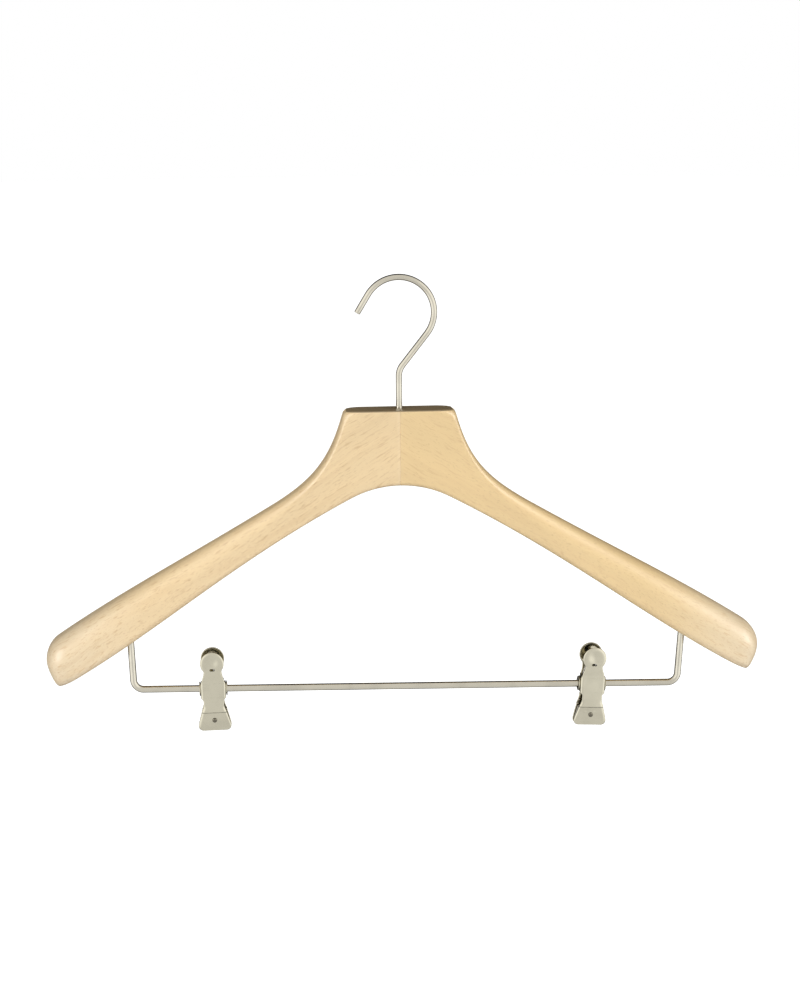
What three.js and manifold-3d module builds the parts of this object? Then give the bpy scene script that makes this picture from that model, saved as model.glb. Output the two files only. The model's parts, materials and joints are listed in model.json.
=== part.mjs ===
// Clip hanger: a contoured wooden hanger in two glued halves, with a swivel hook,
// a wire trouser bar and two sprung clips that slide on the bar.
// Millimetres and degrees, +Z up, +X to the right of the front view, front towards -Y.
// The origin is the inside crown of the hook, where the hanger rests on a rail.

import * as THREE from "three";
import { mergeVertices } from "three/addons/utils/BufferGeometryUtils.js";
import Module from "manifold-3d";

const wasm = await Module();
wasm.setup();

// Clearances
const fit = 0.3; // between pieces that seat on or in each other
const slack = 0.35; // between pieces that turn or slide past each other

// Wooden body
const hangerWidth = 450; // over the rounded tips
const neckWidth = 72.2; // flat top of the neck, with its corners
const neckThickness = 20;
const neckHeight = 48.4; // top of the neck to the crown of the arch
const neckCorner = 4.2; // corner radius at the ends of the flat top
const flankLean = 15.5; // lean of the neck's flank from upright, just under the corner
const shoulderReach = 84; // from the middle to where the flank has run out into the arm
const shoulderDrop = 62; // and how far that lies under the neck's top
const shoulderSlope = 29.3;
const tipPoint = 4.6; // how far the end's sharp upper corner would lie outside the rounded tip
const tipDrop = 143.8; // neck's top to that corner
const tipSlope = 33.5; // slope of the arm's top at the tip
const endLean = 28.8; // lean of the end face from upright
const endHeight = 24.5; // length of the end face between its sharp corners
const heelSlope = 25.8; // slope of the arm's underside at the tip
const archRadius = 67.7;
const archTurn = 27.3; // angle at which the arch runs out into the underside
const tipDepth = 42; // front to back at the tips
const forwardBow = 30; // how far the tips lie in front of the neck
const bowStart = 28; // half width of the neck's flat front
const neckEdge = 1.2; // rounding along the top of the neck
const flankEdge = 7; // rounding along the neck's flanks
const lowerEdge = 2.5; // rounding along the arch
const heelEdge = 4.5; // rounding along the underside of the arms
const topRoundAcross = 0.85; // share of the half depth taken by an arm's rounded top
const topRoundDown = 0.5; // share of the arm's height taken by it
const endRoundTop = 12.7;
const endRoundBottom = 5;
const endRoundSides = 9.7;

// Seam dowels
const dowelDiameter = 5;
const dowelLength = 24;

// Hook
const hookWire = 4;
const hookLoop = 22.5; // radius of the loop on the wire's centre line
const hookRise = 61.2; // neck's top to the centre of the loop
const hookLean = 38; // lean of the straight run between the stem and the loop
const hookBend = 11; // radius of the bend above the stem
const hookMouthLean = 31; // lean of the open end from upright
const hookMouth = 13.5; // length of the straight open end
const headDiameter = 6.6; // upset head on the end of the stem
const headHeight = 2.2;

// Hook socket, in a pocket under the neck's top
const socketDepth = 6; // wood over the pocket
const socketLength = 16;
const socketWall = 1.3;
const barbHeight = 0.5;
const barbCount = 4;
const washerThickness = 0.9;

// Trouser bar
const barWire = 4.4;
const barDrop = 176.5; // neck's top to the middle of the bar's axis
const barShift = 2.6; // the bent wire sits a little to the right of the seam
const barTilt = 0.75; // and its right end is a little lower
const legInset = 50.5; // tip of the arm to the bar's lower corner, apart from the shift
const legLean = 2.8; // the legs spread upwards
const legBend = 6.5; // radius of the lower corners on the wire's centre line
const legEmbed = 16; // length of leg inside the wood

// Clips
const clipPlace = 121; // seam to the middle of a clip
const clipLean = 2.5; // the clips hang a little askew on the bar, with their ears apart
const clipTwist = 3; // and their backs are turned a little towards each other
const sheet = 0.9; // thickness of the jaws
const tubeWall = 0.5;
const tubeRim = 0.8; // how far the tube's rolled rims stand over it
const rimThickness = 0.5;
const springWire = 1;
const springGap = 0.8; // between the coil's curls
const springHalfCurls = 11;
const flangeRoot = 5.2; // half height of the jaws' side flanges where they meet the sheet
const lobeMargin = 1; // metal round the pivot hole
const earDiameter = 15.1;
const earTop = 25.2; // bar's axis to the top of the ears
const earSpread = 7.6; // clip's middle plane to the top of an ear
const earDish = 0.45; // finger hollow pressed into each ear
const dishDiameter = 9.4;
const dishDrop = 6.6; // top of the ears to the middle of the hollow
const earNeckAngle = 40; // below level, where the ear's round ends
const flareStart = 6.5; // bar's axis to where the ears begin to spread
const wingDrop = 3; // bar's axis to the lower end of the widest part
const waistWidth = 13;
const waistDrop = 9;
const creaseWidth = 16;
const creaseDrop = 14.6;
const creaseInset = 0.7; // how far the sheet has come in at the crease
const jawWidth = 20.9;
const jawDrop = 27; // bar's axis to the lower edge of the jaws
const jawCorner = 3;
const slotHeight = 13.6; // bar's axis to the spring's slot
const slotWidth = 3.4;
const slotOpening = 1.6;
const slotOffset = 0.9; // spring's end from the middle of its slot
const padThickness = 1.3;
const padMargin = 0.8; // jaw's edge to the pad's edge
const padTop = 15.6; // bar's axis to the top of a pad
const rivetDrop = 19.7;
const rivetShank = 1.8;
const rivetHead = 3;
const rivetDome = 0.7;

// Fineness
const armStations = 44;
const cornerSteps = 5;
const wireSides = 12;
const springSides = 5;
const roundSides = 24;
const jawStations = 26;
const jawColumns = 7;

// Heights that several pieces share
const neckTop = -(hookRise + hookLoop - hookWire / 2);
const archCrown = neckTop - neckHeight;
const barHeight = neckTop - barDrop;
const barHalf = hangerWidth / 2 - legInset;

const radians = THREE.MathUtils.degToRad;
const smoothstep = THREE.MathUtils.smoothstep;

// Materials
function finish(color, roughness, metalness) {
  return new THREE.MeshStandardMaterial({ color, roughness, metalness });
}
const leftBeech = () => finish(0xe9cda4, 0.5, 0);
const rightBeech = () => finish(0xe7ca9a, 0.5, 0);
const dowelWood = () => finish(0xd9b98a, 0.7, 0);
const nickelPlate = () => finish(0xc6c1af, 0.25, 1);
const springSteel = () => finish(0x9b9a96, 0.35, 1);
const zincPlate = () => finish(0xb4b6b4, 0.4, 1);
const padRubber = () => finish(0x8f8b82, 0.85, 0);

// Solids for cuts and joins
function toSolid(geometry) {
  const bare = geometry.index ? geometry.toNonIndexed() : geometry.clone();
  bare.deleteAttribute("normal");
  bare.deleteAttribute("uv");
  const merged = mergeVertices(bare, 1e-4);
  return new wasm.Manifold(new wasm.Mesh({
    numProp: 3,
    vertProperties: new Float32Array(merged.attributes.position.array),
    triVerts: new Uint32Array(merged.index.array),
  }));
}

function toGeometry(solid) {
  const mesh = solid.getMesh();
  const geometry = new THREE.BufferGeometry();
  geometry.setAttribute("position", new THREE.BufferAttribute(new Float32Array(mesh.vertProperties), 3));
  geometry.setIndex(new THREE.BufferAttribute(new Uint32Array(mesh.triVerts), 1));
  return geometry;
}

function cut(geometry, ...tools) {
  return toGeometry(tools.reduce((solid, tool) => solid.subtract(toSolid(tool)), toSolid(geometry)));
}

function join(geometry, ...others) {
  return toGeometry(others.reduce((solid, other) => solid.add(toSolid(other)), toSolid(geometry)));
}

// A closed skin through rings of equal length, with a flat cap on each end. It always faces out.
function loft(rings) {
  const sides = rings[0].length;
  const points = rings.flat();
  const faces = [];
  for (let row = 0; row + 1 < rings.length; row += 1) {
    for (let k = 0; k < sides; k += 1) {
      const next = (k + 1) % sides;
      const [a, b] = [row * sides + k, row * sides + next];
      faces.push([a, b, b + sides], [a, b + sides, a + sides]);
    }
  }
  for (const row of [0, rings.length - 1]) {
    const ring = rings[row];
    const middle = ring.reduce((sum, p) => sum.add(p), new THREE.Vector3()).divideScalar(sides);
    const centre = points.push(middle) - 1;
    for (let k = 0; k < sides; k += 1) {
      const edge = [row * sides + k, row * sides + ((k + 1) % sides)];
      faces.push(row === 0 ? [centre, edge[1], edge[0]] : [centre, edge[0], edge[1]]);
    }
  }
  const volume = faces.reduce((sum, [a, b, c]) => sum + points[a].dot(points[b].clone().cross(points[c])), 0);
  const outward = volume < 0 ? faces.map(([a, b, c]) => [a, c, b]) : faces;
  const geometry = new THREE.BufferGeometry().setFromPoints(points);
  geometry.setIndex(outward.flat());
  return geometry;
}

// A round bar between two points
function rod(from, to, radius, sides = roundSides) {
  const run = to.clone().sub(from);
  const geometry = new THREE.CylinderGeometry(radius, radius, run.length(), sides);
  const turn = new THREE.Quaternion().setFromUnitVectors(new THREE.Vector3(0, 1, 0), run.clone().normalize());
  geometry.applyQuaternion(turn);
  const middle = from.clone().add(to).multiplyScalar(0.5);
  return geometry.translate(middle.x, middle.y, middle.z);
}

// A revolved piece about Z, from points of radius and height
function revolve(profile) {
  const points = profile.map(([radius, height]) => new THREE.Vector2(radius, height));
  return new THREE.LatheGeometry(points, roundSides).rotateX(Math.PI / 2);
}

// A wire's route of several curves. Straight runs take one step and bends take more.
class WireRoute extends THREE.Curve {
  constructor(pieces) {
    super();
    this.pieces = pieces;
    this.steps = pieces.reduce((sum, piece) => sum + piece.steps, 0);
  }

  getPoint(share) {
    let step = THREE.MathUtils.clamp(share, 0, 1) * this.steps;
    let index = 0;
    while (index + 1 < this.pieces.length && step > this.pieces[index].steps) {
      step -= this.pieces[index].steps;
      index += 1;
    }
    const piece = this.pieces[index];
    return piece.at(step / piece.steps);
  }

  getPointAt(share) {
    return this.getPoint(share);
  }

  getTangentAt(share) {
    return this.getTangent(share);
  }
}

// A flat curve of x and z, set upright in the plane y = depth
function upright(curve, depth, steps) {
  return {
    steps,
    at(share) {
      const point = curve.getPoint(share);
      return new THREE.Vector3(point.x, depth, point.y);
    },
  };
}

function straight(from, to) {
  return new THREE.LineCurve(new THREE.Vector2(...from), new THREE.Vector2(...to));
}

function bend(centre, radius, startAngle, endAngle) {
  const clockwise = endAngle < startAngle;
  return new THREE.EllipseCurve(...centre, radius, radius, radians(startAngle), radians(endAngle), clockwise);
}

function wire(route, diameter, sides) {
  const corners = [];
  for (let k = 0; k < sides; k += 1) {
    const angle = (2 * Math.PI * k) / sides;
    corners.push(new THREE.Vector2(Math.cos(angle), Math.sin(angle)).multiplyScalar(diameter / 2));
  }
  return new THREE.ExtrudeGeometry(new THREE.Shape(corners), { steps: route.steps, extrudePath: route });
}

function piece(name, geometry, material) {
  const mesh = new THREE.Mesh(geometry, material);
  mesh.name = name;
  return mesh;
}

// Wooden arms: sections strung between a top rail and a bottom rail, drawn in x and z under the neck's top

function heading(slope) {
  return new THREE.Vector2(Math.cos(radians(slope)), -Math.sin(radians(slope)));
}

// A curve that leaves one point and reaches another along given slopes
function runOut(path, target, slopeFrom, slopeTo, pullFrom, pullTo) {
  const start = path.currentPoint.clone();
  const reach = start.distanceTo(target);
  const first = start.clone().addScaledVector(heading(slopeFrom), pullFrom * reach);
  const second = target.clone().addScaledVector(heading(slopeTo), -pullTo * reach);
  path.bezierCurveTo(first.x, first.y, second.x, second.y, target.x, target.y);
}

const tipCorner = new THREE.Vector2(hangerWidth / 2 + tipPoint, -tipDrop);
const heelCorner = tipCorner.clone().sub(
  new THREE.Vector2(Math.sin(radians(endLean)), Math.cos(radians(endLean))).multiplyScalar(endHeight));

const topRail = new THREE.Path();
topRail.moveTo(0, 0);
topRail.lineTo(neckWidth / 2 - neckCorner, 0);
topRail.absarc(neckWidth / 2 - neckCorner, -neckCorner, neckCorner, radians(90), radians(flankLean), true);
runOut(topRail, new THREE.Vector2(shoulderReach, -shoulderDrop), 90 - flankLean, shoulderSlope, 0.42, 0.42);
runOut(topRail, tipCorner, shoulderSlope, tipSlope, 0.4, 0.3);

const bottomRail = new THREE.Path();
bottomRail.absarc(0, -neckHeight - archRadius, archRadius, radians(90), radians(90 - archTurn), true);
runOut(bottomRail, heelCorner, archTurn, heelSlope, 0.4, 0.3);

// How far the arm's middle lies in front of the neck, at a distance from the seam
function bowAt(reach) {
  const share = Math.max(reach - bowStart, 0) / (hangerWidth / 2 - bowStart);
  return forwardBow * share ** 1.6;
}

function halfDepthAt(reach) {
  const share = smoothstep(reach, bowStart, hangerWidth / 2);
  return (neckThickness + (tipDepth - neckThickness) * share) / 2;
}

// How far a rounded end draws a side in, at a distance from the end
function endInset(distance, radius) {
  const within = Math.max(radius - distance, 0);
  return radius - Math.sqrt(radius ** 2 - within ** 2);
}

// One section of an arm at a share of both rails: a rectangle with its four corners rounded as quarter ellipses
function armRing(share, side) {
  const top = topRail.getPoint(share);
  const bottom = bottomRail.getPoint(share);
  const reach = (top.x + bottom.x) / 2;
  const distance = (1 - share) * bottomRail.getLength();
  const drawTop = endInset(distance, endRoundTop);
  const height = top.distanceTo(bottom) - drawTop - endInset(distance, endRoundBottom);
  const half = halfDepthAt(reach) - endInset(distance, endRoundSides);
  const flank = smoothstep(share, 0.1, 0.22);
  const arm = smoothstep(share, 0.2, 0.6);
  const blend = (neck, flankValue, armValue) => {
    const early = THREE.MathUtils.lerp(neck, flankValue, flank);
    return THREE.MathUtils.lerp(early, armValue, arm);
  };
  const across = Math.min(blend(neckEdge, flankEdge, topRoundAcross * half), 0.98 * half);
  const down = Math.min(blend(neckEdge, flankEdge, topRoundDown * height), 0.6 * height);
  const heel = Math.min(THREE.MathUtils.lerp(lowerEdge, heelEdge, arm), 0.98 * half, 0.39 * height);
  const corners = [
    { sideways: -1, edge: height, across: heel, down: heel, upper: false },
    { sideways: -1, edge: 0, across, down, upper: true },
    { sideways: 1, edge: 0, across, down, upper: true },
    { sideways: 1, edge: height, across: heel, down: heel, upper: false },
  ];
  const along = bottom.clone().sub(top).normalize();
  const ring = [];
  corners.forEach((corner, index) => {
    for (let k = 0; k <= cornerSteps; k += 1) {
      const angle = (k / cornerSteps) * (Math.PI / 2);
      const [c, s] = index % 2 === 0 ? [Math.sin(angle), Math.cos(angle)] : [Math.cos(angle), Math.sin(angle)];
      const y = -bowAt(reach) + corner.sideways * (half - corner.across * (1 - c));
      const inward = corner.down * (1 - s);
      const q = drawTop + (corner.upper ? inward : corner.edge - inward);
      ring.push(new THREE.Vector3(side * (top.x + along.x * q), y, neckTop + top.y + along.y * q));
    }
  });
  return ring;
}

// Stations lie closer together towards the rounded tip
function armGeometry(side) {
  const rings = [];
  for (let k = 0; k <= armStations; k += 1) {
    const even = k / armStations;
    rings.push(armRing(1 - (1 - even) ** 1.5, side));
  }
  return loft(rings);
}

// Hook socket, washer and head, from the top of the pocket downwards
const stemBore = hookWire / 2 + slack;
const socketRadius = stemBore + socketWall;
const pocketRadius = Math.max(socketRadius + barbHeight, headDiameter / 2) + fit;
const pocketTop = neckTop - socketDepth;
const socketTop = pocketTop - fit;
const socketBottom = socketTop - socketLength;
const washerTop = socketBottom - fit;
const headTop = washerTop - washerThickness - fit;
const headBottom = headTop - headHeight;
const pocketBottom = headBottom - slack;

function hookPocket() {
  const above = neckTop + fit;
  const stem = rod(new THREE.Vector3(0, 0, pocketBottom), new THREE.Vector3(0, 0, above), stemBore);
  const pocket = rod(new THREE.Vector3(0, 0, pocketBottom), new THREE.Vector3(0, 0, pocketTop), pocketRadius);
  return [pocket, stem];
}

// Dowels across the seam, between the hook's pocket and the arch
const dowelHeight = (pocketBottom + archCrown) / 2;

function dowelRod(sideways, grow) {
  const end = dowelLength / 2 + grow;
  const y = (sideways * neckThickness) / 4;
  return rod(new THREE.Vector3(-end, y, dowelHeight), new THREE.Vector3(end, y, dowelHeight),
    dowelDiameter / 2 + grow);
}

// The bar's own frame, with the bar along X and its middle at the origin
const barFrame = new THREE.Matrix4().makeRotationY(radians(barTilt));
barFrame.setPosition(barShift, -bowAt(barHalf), barHeight);

// Height of an arm's underside at a distance from the seam
function undersideHeight(reach) {
  let [low, high] = [0, 1];
  for (let k = 0; k < 40; k += 1) {
    const middle = (low + high) / 2;
    if (bottomRail.getPoint(middle).x < reach) low = middle;
    else high = middle;
  }
  return neckTop + bottomRail.getPoint(low).y;
}

// A point on a leg in the bar's frame, at a length from the bar's lower corner
function legPoint(side, length) {
  return [side * (barHalf + Math.sin(radians(legLean)) * length), Math.cos(radians(legLean)) * length];
}

// Length of a leg from the lower corner to its end inside the arm
function legLength(side) {
  const corner = new THREE.Vector3(side * barHalf, 0, 0).applyMatrix4(barFrame);
  const rise = undersideHeight(Math.abs(corner.x)) - corner.z;
  return rise / Math.cos(radians(legLean + side * barTilt)) + legEmbed;
}

function legHole(side) {
  const ends = [legBend, legLength(side) + fit].map((length) => legPoint(side, length));
  const [low, high] = ends.map(([x, z]) => new THREE.Vector3(x, 0, z).applyMatrix4(barFrame));
  return rod(low, high, barWire / 2 + fit);
}

function armPiece(name, side, material) {
  const dowelHoles = [-1, 1].map((sideways) => dowelRod(sideways, fit));
  const solid = cut(armGeometry(side), ...hookPocket(), ...dowelHoles, legHole(side));
  return piece(name, solid, material);
}

// Hook: stem, bend, leaning run, loop and open end, all in the plane y = 0
function hookRoute() {
  const centre = [0, neckTop + hookRise];
  const lean = radians(hookLean);
  const leave = [hookLoop * Math.cos(lean), centre[1] - hookLoop * Math.sin(lean)];
  const corner = leave[1] - leave[0] / Math.tan(lean);
  const tangent = hookBend * Math.tan(lean / 2);
  const bendStart = corner - tangent;
  const bendEnd = [hookBend * (1 - Math.cos(lean)), bendStart + hookBend * Math.sin(lean)];
  const loopEnd = 180 - hookMouthLean;
  const mouth = radians(hookMouthLean);
  const loopStop = [-hookLoop * Math.cos(mouth), centre[1] + hookLoop * Math.sin(mouth)];
  const openEnd = [loopStop[0] - hookMouth * Math.sin(mouth), loopStop[1] - hookMouth * Math.cos(mouth)];
  const stemStart = (headTop + headBottom) / 2;
  return new WireRoute([
    upright(straight([0, stemStart], [0, bendStart]), 0, 1),
    upright(bend([hookBend, bendStart], hookBend, 180, 180 - hookLean), 0, 4),
    upright(straight(bendEnd, leave), 0, 1),
    upright(bend(centre, hookLoop, -hookLean, loopEnd), 0, 26),
    upright(straight(loopStop, openEnd), 0, 1),
  ]);
}

function hookPiece() {
  const head = rod(new THREE.Vector3(0, 0, headBottom), new THREE.Vector3(0, 0, headTop), headDiameter / 2);
  return piece("hook", join(wire(hookRoute(), hookWire, wireSides), head), nickelPlate());
}

// The socket's barbs are rings that taper downwards
function socketPiece() {
  const pitch = socketLength / barbCount;
  const profile = [[stemBore, socketBottom]];
  for (let k = 0; k < barbCount; k += 1) {
    const foot = socketBottom + k * pitch;
    profile.push([socketRadius, foot], [socketRadius + barbHeight, foot + 0.7 * pitch]);
    profile.push([socketRadius, foot + 0.7 * pitch]);
  }
  profile.push([socketRadius, socketTop], [stemBore, socketTop], [stemBore, socketBottom]);
  return piece("hook_socket", revolve(profile), zincPlate());
}

function washerPiece() {
  const outer = headDiameter / 2;
  const bottom = washerTop - washerThickness;
  const profile = [[stemBore, bottom], [outer, bottom], [outer, washerTop], [stemBore, washerTop], [stemBore, bottom]];
  return piece("hook_washer", revolve(profile), zincPlate());
}

// Bar, drawn in its own frame: down one leg, along and up the other
function trouserBar() {
  const turn = 90 + legLean;
  const tangent = legBend * Math.tan(radians(turn / 2));
  const bendX = barHalf - tangent;
  const rise = (side) => [legPoint(side, tangent), legPoint(side, legLength(side))];
  const route = new WireRoute([
    upright(straight(...rise(-1).reverse()), 0, 1),
    upright(bend([-bendX, legBend], legBend, 270 - turn, 270), 0, 6),
    upright(straight([-bendX, 0], [bendX, 0]), 0, 1),
    upright(bend([bendX, legBend], legBend, -90, turn - 90), 0, 6),
    upright(straight(...rise(1)), 0, 1),
  ]);
  return piece("trouser_bar", wire(route, barWire, wireSides), nickelPlate());
}

// Clips, drawn about the pivot with the bar along X. Each layer takes its place from the one inside it.
const springHalf = ((springWire + springGap) * springHalfCurls) / 4;
const innerFlange = springHalf + springWire / 2 + slack;
const outerFlange = innerFlange + sheet + slack;
const wingHalf = outerFlange + sheet;
const tubeHalf = wingHalf + slack + rimThickness;
const clipSkew = Math.acos(Math.cos(radians(clipLean)) * Math.cos(radians(clipTwist)));
const tubeBore = barWire / 2 / Math.cos(clipSkew) + tubeHalf * Math.tan(clipSkew) + slack;
const tubeRadius = tubeBore + tubeWall;
const pivotHole = tubeRadius + fit;
const lobeRadius = pivotHole + lobeMargin;
const coilRadius = tubeRadius + slack + springWire / 2;
const bodyInside = Math.max(coilRadius + springWire / 2, lobeRadius) + slack;
const bodyDepth = bodyInside + sheet / 2;
const jawTipDepth = fit / 2 + padThickness + fit + sheet / 2;
const earRadius = earDiameter / 2;
const earCentre = earTop - earRadius;

// Middle of the sheet, from the clip's middle plane, at a height over the bar's axis
const jawProfile = [
  [earTop, earSpread],
  [flareStart, bodyDepth],
  [-waistDrop, bodyDepth],
  [-creaseDrop, bodyDepth - creaseInset],
  [-jawDrop, jawTipDepth],
];

function sheetDepth(height) {
  let index = 0;
  while (index + 2 < jawProfile.length && height < jawProfile[index + 1][0]) index += 1;
  const [[upper, from], [lower, to]] = jawProfile.slice(index, index + 2);
  return THREE.MathUtils.mapLinear(height, upper, lower, from, to);
}

// Finger hollow, deepest at its middle and gone at its edge
function dishAt(x, height) {
  const share = (x ** 2 + (height - earTop + dishDrop) ** 2) / (dishDiameter / 2) ** 2;
  return share < 1 ? earDish * (1 - share) ** 2 : 0;
}

// Half outline of a jaw's sheet, from the crown of the ear down to the lower corner
function jawOutline() {
  const outline = new THREE.Path();
  outline.absarc(0, earCentre, earRadius, radians(84), radians(-earNeckAngle), true);
  outline.splineThru([
    new THREE.Vector2(wingHalf, wingDrop),
    new THREE.Vector2(wingHalf, -wingDrop),
    new THREE.Vector2(waistWidth / 2, -waistDrop),
    new THREE.Vector2(creaseWidth / 2, -creaseDrop),
    new THREE.Vector2(jawWidth / 2, -jawDrop + jawCorner),
  ]);
  outline.absarc(jawWidth / 2 - jawCorner, -jawDrop + jawCorner, jawCorner, 0, radians(-90), true);
  return outline.getSpacedPoints(jawStations);
}

// A bent sheet over stations of half width and height, its middle at a depth given by x and height
function bentSheet(stations, depthAt, thickness) {
  const rings = stations.map((station) => {
    const columns = [];
    for (let k = 0; k < jawColumns; k += 1) columns.push(station.x * ((2 * k) / (jawColumns - 1) - 1));
    const face = (out) => columns.map((x) =>
      new THREE.Vector3(x, -(depthAt(x, station.y) + (out * thickness) / 2), station.y));
    return [...face(1), ...face(-1).reverse()];
  });
  return loft(rings);
}

// A side flange: a lobe round the pivot that runs out into the jaw's sheet
function flange(place) {
  const lobe = new THREE.Shape();
  lobe.moveTo(-bodyDepth, -flangeRoot);
  lobe.lineTo(0, -lobeRadius);
  lobe.absarc(0, 0, lobeRadius, radians(-90), radians(90), false);
  lobe.lineTo(-bodyDepth, flangeRoot);
  lobe.closePath();
  lobe.holes.push(new THREE.Path().absarc(0, 0, pivotHole, 0, 2 * Math.PI));
  const geometry = new THREE.ExtrudeGeometry(lobe, { depth: sheet, bevelEnabled: false, curveSegments: roundSides / 2 });
  const sideways = new THREE.Matrix4().makeBasis(
    new THREE.Vector3(0, 1, 0), new THREE.Vector3(0, 0, 1), new THREE.Vector3(1, 0, 0));
  return geometry.applyMatrix4(sideways).translate(place, 0, 0);
}

// The lower jaw's slope, and a point on a line square to it through the rivet
const jawSlope = Math.atan2(bodyDepth - creaseInset - jawTipDepth, jawDrop - creaseDrop);

function rivetPoint(outward) {
  const depth = sheetDepth(-rivetDrop) + outward * Math.cos(jawSlope);
  return new THREE.Vector3(0, -depth, -rivetDrop - outward * Math.sin(jawSlope));
}

function rivetHole() {
  const reach = sheet + padThickness + 2 * fit;
  return rod(rivetPoint(-2 * reach), rivetPoint(reach), rivetShank / 2 + fit, 16);
}

function jawGeometry(flangePlace) {
  const plate = bentSheet(jawOutline(), (x, height) => sheetDepth(height) - dishAt(x, height), sheet);
  const slot = new THREE.BoxGeometry(slotWidth, 4 * (sheet + earDish), slotOpening);
  slot.translate(0, -sheetDepth(slotHeight), slotHeight);
  const whole = join(plate, flange(flangePlace), flange(-flangePlace - sheet));
  return cut(whole, slot, rivetHole());
}

// Pads follow the inside of the lower jaws
function padGeometry() {
  const inset = sheet / 2 + fit + padThickness / 2;
  const stations = jawOutline()
    .filter((point) => point.y < -padTop)
    .map((point) => new THREE.Vector2(point.x - padMargin, Math.max(point.y, -jawDrop + padMargin)))
    .filter((point, k, all) => k === 0 || point.y < all[k - 1].y);
  const top = new THREE.Vector2(stations[0].x, -padTop);
  return cut(bentSheet([top, ...stations], (x, height) => sheetDepth(height) - inset, padThickness), rivetHole());
}

// A dome outside the jaw on a shank that ends inside the pad
function rivetGeometry() {
  const seat = sheet / 2 + fit;
  const inner = -(sheet / 2 + fit + 0.8 * padThickness);
  const dome = [[0, inner], [rivetShank / 2, inner], [rivetShank / 2, seat], [rivetHead / 2, seat]];
  const steps = 4;
  for (let k = 1; k <= steps; k += 1) {
    const angle = (k / steps) * (Math.PI / 2);
    dome.push([k === steps ? 0 : (rivetHead / 2) * Math.cos(angle), seat + rivetDome * Math.sin(angle)]);
  }
  const geometry = new THREE.LatheGeometry(dome.map((point) => new THREE.Vector2(...point)), 16);
  const outward = rivetPoint(1).sub(rivetPoint(0));
  geometry.applyQuaternion(new THREE.Quaternion().setFromUnitVectors(new THREE.Vector3(0, 1, 0), outward));
  const place = rivetPoint(0);
  return geometry.translate(place.x, place.y, place.z);
}

function tubeGeometry() {
  const rimRadius = pivotHole + tubeRim;
  const rimInside = tubeHalf - rimThickness;
  const profile = [
    [tubeBore, -tubeHalf], [rimRadius, -tubeHalf], [rimRadius, -rimInside], [tubeRadius, -rimInside],
    [tubeRadius, rimInside], [rimRadius, rimInside], [rimRadius, tubeHalf], [tubeBore, tubeHalf],
    [tubeBore, -tubeHalf],
  ];
  return revolve(profile).rotateY(Math.PI / 2);
}

// Torsion spring: down from the rear jaw's slot, round the tube, and up to the front jaw's slot
function springRoute() {
  const stepsPerCurl = 8;
  const legSteps = 8;
  const leg = (side) => {
    const rise = slotHeight - coilRadius / 2;
    const slotDepth = sheetDepth(slotHeight);
    const x = -side * springHalf;
    const slotX = -side * slotOffset;
    return new THREE.CubicBezierCurve3(
      new THREE.Vector3(x, side * coilRadius, 0), new THREE.Vector3(x, side * coilRadius, 0.8 * rise),
      new THREE.Vector3(slotX, side * coilRadius, slotHeight), new THREE.Vector3(slotX, side * slotDepth, slotHeight));
  };
  const coil = (share) => {
    const angle = -Math.PI * springHalfCurls * share;
    const x = springHalf * (2 * share - 1);
    return new THREE.Vector3(x, coilRadius * Math.cos(angle), coilRadius * Math.sin(angle));
  };
  return new WireRoute([
    { steps: legSteps, at: (share) => leg(1).getPoint(1 - share) },
    { steps: (stepsPerCurl * springHalfCurls) / 2, at: coil },
    { steps: legSteps, at: (share) => leg(-1).getPoint(share) },
  ]);
}

// Least space between stretches of the spring that lie more than a curl's quarter apart along the wire
function leastSpringGap(route) {
  const count = 600;
  const points = route.getSpacedPoints(count);
  const stretch = (coilRadius * Math.PI) / 2;
  const travelled = [0];
  for (let k = 1; k <= count; k += 1) travelled.push(travelled[k - 1] + points[k].distanceTo(points[k - 1]));
  let least = Infinity;
  for (let a = 0; a < count; a += 1) {
    for (let b = a + 1; b <= count; b += 1) {
      if (travelled[b] - travelled[a] > stretch) least = Math.min(least, points[a].distanceTo(points[b]));
    }
  }
  return least - springWire;
}

function clipGroup(name, side) {
  const spring = springRoute();
  console.log(`${name}_spring least gap to itself ${leastSpringGap(spring).toFixed(2)} mm`);
  const clip = new THREE.Group();
  clip.add(piece(`${name}_tube`, tubeGeometry(), nickelPlate()));
  clip.add(piece(`${name}_spring`, wire(spring, springWire, springSides), springSteel()));
  for (const [place, turn, flangePlace] of [["front", 0, outerFlange], ["rear", Math.PI, innerFlange]]) {
    clip.add(piece(`${name}_${place}_jaw`, jawGeometry(flangePlace).rotateZ(turn), nickelPlate()));
    clip.add(piece(`${name}_${place}_pad`, padGeometry().rotateZ(turn), padRubber()));
    clip.add(piece(`${name}_${place}_rivet`, rivetGeometry().rotateZ(turn), nickelPlate()));
  }
  clip.position.x = (side * clipPlace - barShift) / Math.cos(radians(barTilt));
  clip.rotation.set(0, radians(side * clipLean), radians(side * clipTwist));
  return clip;
}

const hanger = new THREE.Group();
hanger.add(armPiece("left_arm", -1, leftBeech()));
hanger.add(armPiece("right_arm", 1, rightBeech()));
hanger.add(piece("front_dowel", dowelRod(-1, 0), dowelWood()));
hanger.add(piece("rear_dowel", dowelRod(1, 0), dowelWood()));
hanger.add(hookPiece());
hanger.add(socketPiece());
hanger.add(washerPiece());

const bar = new THREE.Group();
bar.applyMatrix4(barFrame);
bar.add(trouserBar());
bar.add(clipGroup("left_clip", -1));
bar.add(clipGroup("right_clip", 1));
hanger.add(bar);

export default hanger;
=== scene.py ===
"""Clip hanger: the looks of its wooden arms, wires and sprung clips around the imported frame.

Sizes are millimetres until a mesh is made, which is in metres. +Z is up, +X is to the right of the
front view and the front is towards -Y. The origin is the inside crown of the hook.
"""

import json
import logging
import math
from dataclasses import dataclass
from enum import Enum
from typing import Callable

import bmesh
import bpy
import numpy as np
from mathutils import Matrix, Vector

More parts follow.
